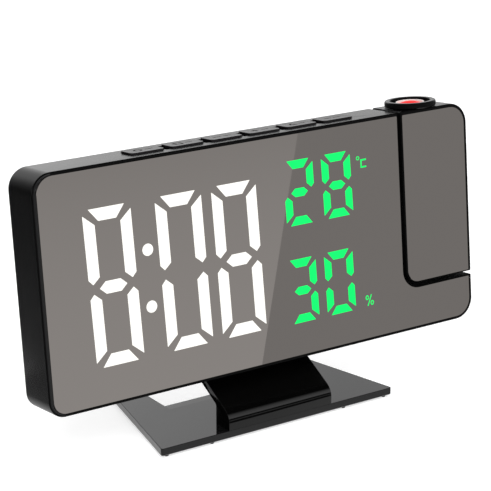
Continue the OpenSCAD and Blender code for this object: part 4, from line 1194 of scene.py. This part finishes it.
# %% Base plate
PLATE_HALF, PLATE_TAPER, PLATE_DEEP, PLATE_T, PLATE_EDGE = 52.5, 12.4, 58.0, 2.9, 0.2
NOTCH_HALF, NOTCH_AT, NOTCH_BEVEL, BEVEL_DEEP = 30.4, 34.2, 4.6, 0.4
SCREW_WELL_X, SCREW_WELL_Y, SCREW_WELL_R, SCREW_WELL_DEEP = 15, 4.5, 2.5, 1.2
plate_top = PLATE_UNDER + PLATE_T
plate_back = PLATE_FRONT + PLATE_DEEP
notch_front = PLATE_FRONT + NOTCH_AT
back_half = PLATE_HALF - PLATE_TAPER
PLATE = [(-PLATE_HALF, PLATE_FRONT, 0.8), (PLATE_HALF, PLATE_FRONT, 0.8), (back_half, plate_back, 1.5),
         (NOTCH_HALF, plate_back, 1.0), (NOTCH_HALF, notch_front, 0.6), (-NOTCH_HALF, notch_front, 0.6),
         (-NOTCH_HALF, plate_back, 1.0), (-back_half, plate_back, 1.5)]
plate_section = ([(0.3, PLATE_UNDER), (0, PLATE_UNDER + 0.3)]
                 + [(inset, plate_top - depth) for inset, depth in rounding(PLATE_EDGE, 3)])


def notch_bevel():
    """The wedge cut off the plate's top along the front of its notch."""
    past = 0.5
    near, far = notch_front - NOTCH_BEVEL, notch_front + past
    wedge = [(near, plate_top), (far, plate_top - BEVEL_DEEP * (1 + past / NOTCH_BEVEL)),
             (far, plate_top + PAST), (near, plate_top + PAST)]
    bm = bmesh.new()
    skin(bm, [[(x, y, z) for y, z in wedge] for x in (-NOTCH_HALF, NOTCH_HALF)])
    return as_object(bm, "cutter", on_table)


plate = lofted("plate_polished", PLATE, plate_section, place=on_table, across=in_plan)
wells = [rod((side * SCREW_WELL_X, PLATE_FRONT + SCREW_WELL_Y, 0), 2, PLATE_UNDER - PAST,
             PLATE_UNDER + SCREW_WELL_DEEP, SCREW_WELL_R, place=on_table) for side in (-1, 1)]
cut(plate, notch_bevel(), *wells)
soften(plate, 0.1)
dress(plate, "base_plate", plate_gloss)
print("plate:", len(plate.data.polygons), "faces")

# %% Bracket section
BRACKET_HALF, BRACKET_T, FOOT_DEEP, FOOT_UP, TONGUE_H = 23.25, 3.0, 9.0, 5.9, 33.0
BEND_R, RISE, BRACKET_EDGE = 5.2, math.radians(28.9), 0.15


def leaned(behind, up):
    """A point of the leaning body as (behind, up) on the table, in millimetres."""
    point = leaning @ Vector((0, behind, up)) / MM
    return Vector((point.y, point.z))


def meeting(p, u, q, v):
    """Where the line through p along u meets the line through q along v."""
    return p + u * ((q - p).x * v.y - (q - p).y * v.x) / (u.x * v.y - u.y * v.x)


slope = Vector((math.cos(RISE), math.sin(RISE)))
upright = Vector((math.sin(LEAN), math.cos(LEAN)))
corner = Vector((PLATE_FRONT, plate_top + FOOT_UP))
under = corner + BRACKET_T * Vector((slope.y, -slope.x))
front_top, back_top = leaned(BODY_D, TONGUE_H), leaned(BODY_D + BRACKET_T, TONGUE_H)
foot_back = Vector((PLATE_FRONT + FOOT_DEEP, plate_top))
BRACKET = [(*foot_back, 0.05), (*meeting(under, slope, foot_back, Vector((0, 1))), 1.2),
           (*meeting(under, slope, back_top, upright), 3.0), (*back_top, 0.9), (*front_top, 0.9),
           (*meeting(corner, slope, front_top, upright), 1.0), (*corner, BEND_R),
           (PLATE_FRONT, plate_top, 0.05)]
side_round = rounding(BRACKET_EDGE)
bracket_section = ([(inset, depth - BRACKET_HALF) for inset, depth in reversed(side_round)]
                   + [(inset, BRACKET_HALF - depth) for inset, depth in side_round])
bracket = lofted("bracket_moulded", BRACKET, bracket_section, place=on_table, across=in_section)
dress(bracket, "stand_bracket", bracket_gloss)
print("bracket: tongue ends at", tuple(round(v, 2) for v in back_top))

# %% Feet
FOOT_R, FOOT_H = 0.9, PLATE_UNDER
foot_section = [(FOOT_R - 0.2, 0), (FOOT_R, 0.2), (FOOT_R, FOOT_H), (0.05, FOOT_H), (0.05, 0)]
feet_at = [(PLATE_HALF - 3, 1.6), (NOTCH_HALF - 0.4, 1.6), (PLATE_HALF - 4.6, 12.5),
           (back_half - 4, PLATE_DEEP - 3)]
feet = [turned("foot", foot_section, (s * x, PLATE_FRONT + y), steps=32, place=on_table)
        for s in (-1, 1) for x, y in feet_at]
dress(joined("feet_moulded", feet), "rubber_feet", foot_rubber)
print("feet:", len(feet))

# %% [markdown]
# ## The back
# Nothing here shows from the front, but the clock is used from all sides. The back cover
# has the coarse spark texture that hides sink marks, a round grille for the alarm, four
# slots for the humidity sensor, a lid over the backup cell and the power inlet. Screws
# have turned domed heads with a cross recess.

# %% Screws
SCREW_R, HEAD_SCREW_R, HEAD_H, HEAD_EDGE = 1.1, 2.3, 1.2, 0.45
PLATE_SHANK, TONGUE_TIP, LID_TIP = 6.2, 5.6, 13  # how long, or where a shank ends
CROSS_HALF, CROSS_W, CROSS_DEEP = 1.35, 0.5, 0.7
BACKWARDS = Matrix.Rotation(math.radians(-90), 4, "X")


def screw(place, shank):
    """A pan-head screw whose head starts at the origin of place and faces along +Z."""
    dome = [(HEAD_SCREW_R, 0), (HEAD_SCREW_R, HEAD_H * HEAD_EDGE)]
    dome += [(HEAD_SCREW_R * math.cos(a), HEAD_H * (HEAD_EDGE + (1 - HEAD_EDGE) * math.sin(a)))
             for a in (0.35, 0.7, 1.05, 1.35)]
    section = [(SCREW_R, -shank), (SCREW_R, 0)] + dome + [(0.1, HEAD_H), (0.1, -shank)]
    body = turned("screw", section, (0, 0), steps=40, place=place)
    w, c = CROSS_W / 2, CROSS_HALF
    plus = [(-w, -c), (w, -c), (w, -w), (c, -w), (c, w), (w, w),
            (w, c), (-w, c), (-w, w), (-c, w), (-c, -w), (-w, -w)]
    tapered = [(0.22, HEAD_H - CROSS_DEEP), (0, HEAD_H + 0.5)]
    cross = lofted("cutter", [(x, y, 0.03) for x, y in plus], tapered, place=place, across=in_plan)
    return cut(body, cross)


def at_back(x, z, depth):
    """Place of something turned in the back, its end facing backwards."""
    return leaning @ Matrix.Translation((x, depth, z)) @ BACKWARDS


def screws(node, points, seat, tip):
    """The screws of one node, in the back at (x, z) points, from their seat to their tip."""
    group = [screw(at_back(x, z, seat), seat - tip) for x, z in points]
    dress(joined(node + "_turned", group), node, screw_black)


print("screw heads of", 2 * HEAD_SCREW_R, "mm")

# %% Where the screws are
COVER_SCREW_IN, COVER_SCREW_UP, BOSS_R, BOSS_UP = 5.8, 6.8, 2.9, 6
SCREW_SEAT, SCREW_TIP = BODY_D - HEAD_H, 9
top_row, arm_boss_in = BODY_H - COVER_SCREW_UP, WALL + BOSS_R + 0.6
cover_screws = [(COVER_SCREW_IN - HALF_W, COVER_SCREW_UP), (COVER_SCREW_IN - HALF_W, top_row),
                (SEAM_LEFT - WALL - BOSS_R - FIT, top_row), (HALF_W - COVER_SCREW_IN, COVER_SCREW_UP)]
arm_screws = [(HALF_W - COVER_SCREW_IN, top_row), (HALF_W - arm_boss_in, ARM_LOW + BOSS_UP),
              (ARM_LEFT + arm_boss_in, ARM_LOW + BOSS_UP)]
tongue_screws = [(side * (BRACKET_HALF - 10.2), TONGUE_H - 13) for side in (-1, 1)]
screws("cover_screws", cover_screws, SCREW_SEAT, SCREW_TIP)
screws("arm_screws", arm_screws, SCREW_SEAT, SCREW_TIP)
screws("bracket_screws", tongue_screws, BODY_D + BRACKET_T, COVER_FRONT - TONGUE_TIP)

underside = on_table @ Matrix.Translation((0, 0, PLATE_UNDER + HEAD_H)) @ Matrix.Rotation(math.pi, 4, "X")
wells_at = [Matrix.Translation((side * SCREW_WELL_X, -PLATE_FRONT - SCREW_WELL_Y, 0)) for side in (-1, 1)]
plate_screws = [screw(underside @ well, PLATE_SHANK) for well in wells_at]
dress(joined("plate_screws_turned", plate_screws), "plate_screws", screw_black)
print("screws:", len(cover_screws) + len(arm_screws) + len(tongue_screws) + len(plate_screws))

# %% [markdown]
# ## Back covers
# Each cover is a plate with a soft back edge that sits between the walls of its shell. The
# openings are outlines cut through it: slots in a circle for the alarm, four upright ones
# for the humidity sensor, and square holes for the cell's lid and the inlet. Every screw
# has a well for its head and a hole for its shank.

# %% Openings of the back cover
SPEAKER_X, SPEAKER_Z, SPEAKER_R, SLOT_W = 33 - HALF_W, BODY_H - 36, 8.4, 1.4
SENSOR_X, SENSOR_Z, SENSOR_SLOT = HALF_W - 21, 9, 7
CELL_X, CELL_Z, CELL_HALF = 22, BODY_H - 34, 12.5
INLET_X, INLET_Z, INLET_HALF = -40, 11.5, 4.5


def slot_at(x, z, w, h):
    """A slot with round ends."""
    return box_corners(x - w / 2, z - h / 2, x + w / 2, z + h / 2, min(w, h) / 2 - 0.01)


def square_at(x, z, half, radius):
    """A square round (x, z)."""
    return box_corners(x - half, z - half, x + half, z + half, radius)


openings = []
grille_rows = int((SPEAKER_R - SLOT_W) / (2 * SLOT_W))
for i in range(-grille_rows, grille_rows + 1):
    reach = math.sqrt(SPEAKER_R ** 2 - (2 * SLOT_W * i) ** 2) - SLOT_W / 2
    openings.append(slot_at(SPEAKER_X, SPEAKER_Z + 2 * SLOT_W * i, 2 * reach, SLOT_W))
for i in (-1.5, -0.5, 0.5, 1.5):
    openings.append(slot_at(SENSOR_X + i * 2 * SLOT_W, SENSOR_Z, SLOT_W, SENSOR_SLOT))
openings.append(square_at(INLET_X, INLET_Z, INLET_HALF + FIT, 0.3))
openings.append(square_at(CELL_X, CELL_Z, CELL_HALF + FIT, 1.1))
print("openings of the back cover:", len(openings))


# %% Back covers
COVER_EDGE = 0.3


def soft_back(inset, front):
    """Section of a plate let into the back, from its front face to its rounded back edge."""
    edge = rounding(COVER_EDGE, 3)
    return [(inset, front)] + [(inset + drawn_in, BODY_D - depth) for drawn_in, depth in edge]


def screw_well(x, z):
    """The well of a screw's head."""
    return rod((x, 0, z), 1, SCREW_SEAT, BODY_D + PAST, HEAD_SCREW_R + 0.2)


def cover_plate(name, corners, holes, seats):
    """A back cover: a plate with a soft back edge, holes through it and sunk screw seats."""
    plate = lofted(name, corners, soft_back(WALL + FIT, COVER_FRONT))
    cutters = [lofted("cutter", hole, [(0, COVER_FRONT - PAST), (0, BODY_D + PAST)]) for hole in holes]
    cutters += [screw_well(x, z) for x, z in seats]
    cutters += [rod((x, 0, z), 1, COVER_FRONT - PAST, SCREW_SEAT + 0.1, SCREW_R + 0.2) for x, z in seats]
    cut(plate, *cutters)
    return soften(plate, 0.15)


back = cover_plate("back_cover_textured", BODY, openings, cover_screws)
dress(back, "rear_cover", cover_black)
arm_back = cover_plate("arm_cover_textured", ARM, [], arm_screws)
dress(arm_back, "arm_cover", cover_black)
print("back cover:", len(back.data.polygons), "faces")

# %% [markdown]
# ## Lid and inlet
# The lid of the backup cell is a small plate of the same kind, with a groove for a finger
# nail and one screw. The power inlet is a block let into the cover, bored for a plug, with
# a brass pin in the bore. Its pin is turned with a round tip, as a lathe would make it.

# %% Lid of the backup cell
LID_IN, GROOVE_HALF, GROOVE_R, GROOVE_OUT = 3, 5, 1.2, 0.5
lid_screw = (CELL_X + CELL_HALF - LID_IN, CELL_Z - CELL_HALF + LID_IN)
lid = lofted("cell_lid", square_at(CELL_X, CELL_Z, CELL_HALF, 1), soft_back(0, COVER_FRONT))
cut(lid, rod((0, BODY_D + GROOVE_OUT, CELL_Z + CELL_HALF - LID_IN), 0, CELL_X - GROOVE_HALF,
             CELL_X + GROOVE_HALF, GROOVE_R, steps=32), screw_well(*lid_screw))
soften(lid, 0.12)
dress(lid, "cell_cover", cover_black)
lid_screw_turned = screw(at_back(*lid_screw, SCREW_SEAT), SCREW_SEAT - LID_TIP)
dress(joined("cell_screw_turned", [lid_screw_turned]), "cell_cover_screw", screw_black)
print("cell lid:", len(lid.data.polygons), "faces")

# %% Power inlet
INLET_FRONT, INLET_FLOOR, INLET_BACK = 8.4, 9.4, BODY_D - 0.4
SOCKET_R, PIN_R, PIN_ROUND, PIN_SHORT = 2.9, 1.0, 0.6, 1.5
inlet = lofted("inlet_moulded", square_at(INLET_X, INLET_Z, INLET_HALF, 0.25),
               [(0, INLET_FRONT), (0, INLET_BACK - 0.2), (0.2, INLET_BACK)])
cut(inlet, rod((INLET_X, 0, INLET_Z), 1, INLET_FLOOR, BODY_D, SOCKET_R))
soften(inlet, 0.12)
dress(inlet, "power_inlet", tube_black)
pin_tip = INLET_BACK - PIN_SHORT - INLET_FLOOR
pin_section = ([(PIN_R, 0), (PIN_R, pin_tip - PIN_ROUND)]
               + arc_profile((PIN_R - PIN_ROUND, pin_tip - PIN_ROUND), PIN_ROUND, 15, 90, 4)
               + [(0.05, pin_tip), (0.05, 0)])
pin = turned("pin_turned", pin_section, (0, 0), steps=32, place=at_back(INLET_X, INLET_Z, INLET_FLOOR))
dress(pin, "inlet_pin", brass)
print("pieces so far:", len(visible_pieces))

# %% [markdown]
# ## Parts that stay as the frame has them
# The boards, chips, switches, shafts and the like are simple turned or cut shapes, and
# the frame's own solids are right for them. They keep their meshes and only change their
# finish.

# %% Finishes for the frame's own pieces
inner_finish = {
    "light_box": carrier_black, "unlit_digits": unlit_gloss, "main_board": solder_green,
    "board_chips": chip_black, "board_screws": screw_zinc, "key_board": solder_green,
    "key_switches": switch_grey, "loudspeaker": speaker_steel, "coin_cell": cell_steel,
    "cell_contact": brass, "humidity_sensor": solder_green, "hinge_bush": brass,
    "hinge_washer": nylon_pale, "hinge_shaft": shaft_steel, "hinge_clip": shaft_steel,
    "projector_tube": tube_black, "projector_lamp": lamp_white, "condenser_lens": lens_clear,
    "digit_slide": slide_dark}
for name, finish in inner_finish.items():
    for material_slot in nodes[name].material_slots:
        material_slot.material = finish
print("frame pieces dressed:", len(inner_finish), "of", len(nodes) - len(visible_pieces))

# %% [markdown]
# ## Studio
# The clock stands on a plain pale floor in an even white room. Camera, mirror and glass
# rays find the room at a strength of one, so it looks white; other rays find it dimmer,
# and large soft lamps add the shape. Black plastic has hardly any colour of its own: its
# greys are the room, seen in it at a slant. So the tones are set as in a product studio,
# with cards that only reflections can see.

# %% World
AMBIENT = 0.55


def seen_directly(tree):
    """One for camera, mirror and glass rays, and nothing for the rays that only light."""
    ray = put(tree, "LightPath")
    seen = math_node(tree, "MAXIMUM", ray.outputs["Is Camera Ray"], ray.outputs["Is Glossy Ray"])
    return math_node(tree, "MAXIMUM", seen, ray.outputs["Is Transmission Ray"])


world = bpy.data.worlds.new("white_room")
bpy.context.scene.world = world
world.use_nodes = True
tree = world.node_tree
tree.nodes.clear()
strength = math_node(tree, "ADD", math_node(tree, "MULTIPLY", seen_directly(tree), 1 - AMBIENT), AMBIENT)
background = put(tree, "Background")
background.inputs["Color"].default_value = (1, 1, 1, 1)
tree.links.new(strength, background.inputs["Strength"])
tree.links.new(background.outputs[0], put(tree, "OutputWorld").inputs[0])
print("room light for the object:", AMBIENT)

# %% Floor
FLOOR_SPAN, FLOOR_PAINT, FLOOR_GLOW = 6.0, 0.6, 0.6


def flat_card(name, corners, finish):
    """A flat sheet through four points, in metres, that belongs to the studio."""
    mesh = bpy.data.meshes.new(name)
    mesh.from_pydata([tuple(c) for c in corners], [], [(0, 1, 2, 3)])
    mesh.materials.append(finish)
    card = bpy.data.objects.new(name, mesh)
    bpy.context.scene.collection.objects.link(card)
    return card


def lying(left, near, right, far, z):
    """Corners of a level sheet."""
    return [(left, near, z), (right, near, z), (right, far, z), (left, far, z)]


def floor_finish():
    """Pale diffuse paint, with a part that only camera, mirror and glass rays see as white."""
    material, tree = empty_material("floor_pale")
    paint = put(tree, "BsdfDiffuse")
    paint.inputs["Color"].default_value = (FLOOR_PAINT, FLOOR_PAINT, FLOOR_PAINT, 1)
    glow, both = put(tree, "Emission"), put(tree, "AddShader")
    tree.links.new(math_node(tree, "MULTIPLY", seen_directly(tree), FLOOR_GLOW), glow.inputs["Strength"])
    tree.links.new(paint.outputs[0], both.inputs[0])
    tree.links.new(glow.outputs[0], both.inputs[1])
    tree.links.new(both.outputs[0], put(tree, "OutputMaterial").inputs[0])
    return material


flat_card("floor", lying(-FLOOR_SPAN, -FLOOR_SPAN, FLOOR_SPAN, FLOOR_SPAN, 0), floor_finish())
print("floor:", 2 * FLOOR_SPAN, "m square")

# %% Lamps
AIM = Vector((0, 0, 0.05))


def soft_lamp(name, place, size, watts):
    """A square area lamp that mirrors don't see, aimed at the clock."""
    data = bpy.data.lights.new(name, "AREA")
    data.shape, data.size, data.energy = "SQUARE", size, watts
    lamp = bpy.data.objects.new(name, data)
    lamp.location = place
    lamp.rotation_euler = (AIM - Vector(place)).to_track_quat("-Z", "Y").to_euler()
    lamp.visible_glossy = False
    bpy.context.scene.collection.objects.link(lamp)


soft_lamp("key", (-0.7, -0.9, 1.1), 0.8, 14)
soft_lamp("fill", (1.1, -0.7, 0.7), 0.9, 7)
soft_lamp("rear", (0.2, 1.1, 0.9), 0.9, 7)

# %% [markdown]
# ## Cards for the reflections
# A black or mirrored product shows little but its surroundings, so a product studio builds
# those from cards. Dim sheets lie on the floor in front and a dark wall ends them, so that
# the mirror reads as smoked glass and not as a white sheet. The floor at the left is dark
# and brightens towards the clock, which keeps the left end deep black and its edge clear.
# Walls and a ceiling at the back set the greys of the top, and a slanted card gives the
# mirror a quiet diagonal sheen. Only reflections see them, and none shades the clock.

# %% Card helpers
cards = []


def tone_finish(name, axis, start, end):
    """A glow whose tone runs along one axis from start to end, each a (place, tone) pair."""
    material, tree = empty_material(name)
    parts, glow = put(tree, "SeparateXYZ"), put(tree, "Emission")
    tree.links.new(object_place(tree), parts.inputs[0])
    span = put(tree, "MapRange")
    for label, value in zip(("From Min", "To Min", "From Max", "To Max"), start + end):
        span.inputs[label].default_value = value
    tree.links.new(parts.outputs[axis], span.inputs[0])
    tree.links.new(span.outputs[0], glow.inputs["Strength"])
    tree.links.new(glow.outputs[0], put(tree, "OutputMaterial").inputs[0])
    return material


def reflection_card(name, corners, axis, start, end):
    """A card for reflections alone, with a tone that runs along one axis."""
    card = flat_card(name, corners, tone_finish(name, axis, start, end))
    card.visible_camera = card.visible_diffuse = card.visible_shadow = False
    card.visible_transmission = card.visible_volume_scatter = False
    cards.append(name)


def standing(left, right, y, low, high):
    """Corners of an upright sheet that faces the front."""
    return [(left, y, low), (right, y, low), (right, y, high), (left, y, high)]


def even(tone):
    """Axis, start and end of a tone that stays the same."""
    return 0, (0, tone), (1, tone)


print("card helpers ready")

# %% Cards on the floor
FRONT, BACK, SIDES, ON_FLOOR = -2.6, 2.0, 3.5, 0.0006
FRONT_TONE, NEAR_TONE, DARK = 0.36, 0.6, 0.02
# Left edges of the cards, and the lines in front of the base plate where they meet
LEFT, DARK_LEFT, PALE_LEFT = -0.105, -0.132, -0.054
SHEET_END, LINE_END, STRIP_END, LEFT_FRONT = -0.083, -0.045, -0.0295, -0.03

reflection_card("front_sheet", lying(LEFT, FRONT, SIDES, SHEET_END, ON_FLOOR), *even(FRONT_TONE))
reflection_card("near_strip", lying(LEFT, LINE_END, SIDES, STRIP_END, ON_FLOOR), *even(NEAR_TONE))
reflection_card("near_line", lying(LEFT, SHEET_END, SIDES, LINE_END, ON_FLOOR), *even(DARK))
reflection_card("front_sheet_left", lying(-SIDES, FRONT, LEFT, LEFT_FRONT, ON_FLOOR), *even(FRONT_TONE))
reflection_card("left_floor", lying(-SIDES, LEFT_FRONT, DARK_LEFT, BACK, ON_FLOOR),
                0, (-0.27, 0.015), (-0.13, 0.1))
reflection_card("left_near", lying(DARK_LEFT, LEFT_FRONT, PALE_LEFT, 0.07, 0.0008),
                0, (-0.13, 0.12), (-0.101, 0.56))
print("cards on the floor:", cards)

# %% Walls and ceiling
FRONT_H, CEILING, CEILING_FRONT = 0.55, 1.2, -0.85
WALL_LEFT, WALL_RIGHT, LOW_WALL_H = -0.2, 0.8, 0.66

reflection_card("front_wall", standing(-SIDES, SIDES, FRONT, 0, FRONT_H), *even(DARK))
reflection_card("back_left_wall", standing(-SIDES, WALL_LEFT, BACK, 0, CEILING),
                0, (-1.1, DARK), (-0.45, 0.7))
reflection_card("back_wall", standing(WALL_LEFT, WALL_RIGHT, BACK, 0, CEILING),
                0, (0.3, 0.7), (0.85, 0.96))
reflection_card("back_right_wall", standing(WALL_RIGHT, SIDES, BACK, 0, LOW_WALL_H),
                0, (0.9, 0.96), (1.8, 0.7))
reflection_card("back_high_wall", standing(WALL_RIGHT, SIDES, BACK, LOW_WALL_H, CEILING),
                0, (1.1, 1.2), (1.57, 0.88))
reflection_card("ceiling", lying(-SIDES, CEILING_FRONT, SIDES, BACK, CEILING), *even(0))
reflection_card("ceiling_front", lying(-SIDES, FRONT, SIDES, CEILING_FRONT, CEILING),
                1, (-1.7, 0.8), (-0.9, 0.0))
print("cards in all:", len(cards))

# %% [markdown]
# ## The sheen
# A straight edge of light crosses the mirror at a slant. Its card lies on the floor, and its
# corners are found by following the camera's rays to places on the mirror and on from
# there to the floor. Guessing the card's shape by eye would take many tries.

# %% Sheen card
SHEEN_Z = 0.0012
# Places on the mirror that the card's corners are seen at, in millimetres across and up
SHEEN_CORNERS = ((-110, 0), (-7.1, 0), (17.4, 95), (-110, 95))


def seen_on_floor(x, z, height):
    """The point at a height just over the floor that the camera sees at the mirror's (x, z)."""
    spot = leaning @ Vector((x, 0, z))
    normal = (leaning.to_3x3() @ Vector((0, -1, 0))).normalized()
    ray = (spot - camera.location).normalized()
    bounced = ray - 2 * ray.dot(normal) * normal
    return spot + bounced * ((height - spot.z) / bounced.z)


sheen = [seen_on_floor(x, z, SHEEN_Z) for x, z in SHEEN_CORNERS]
reflection_card("sheen_card", sheen, 1, (sheen[3].y, 0.42), (sheen[1].y, 0.56))
print("sheen card from", round(sheen[3].y, 3), "to", round(sheen[1].y, 3))
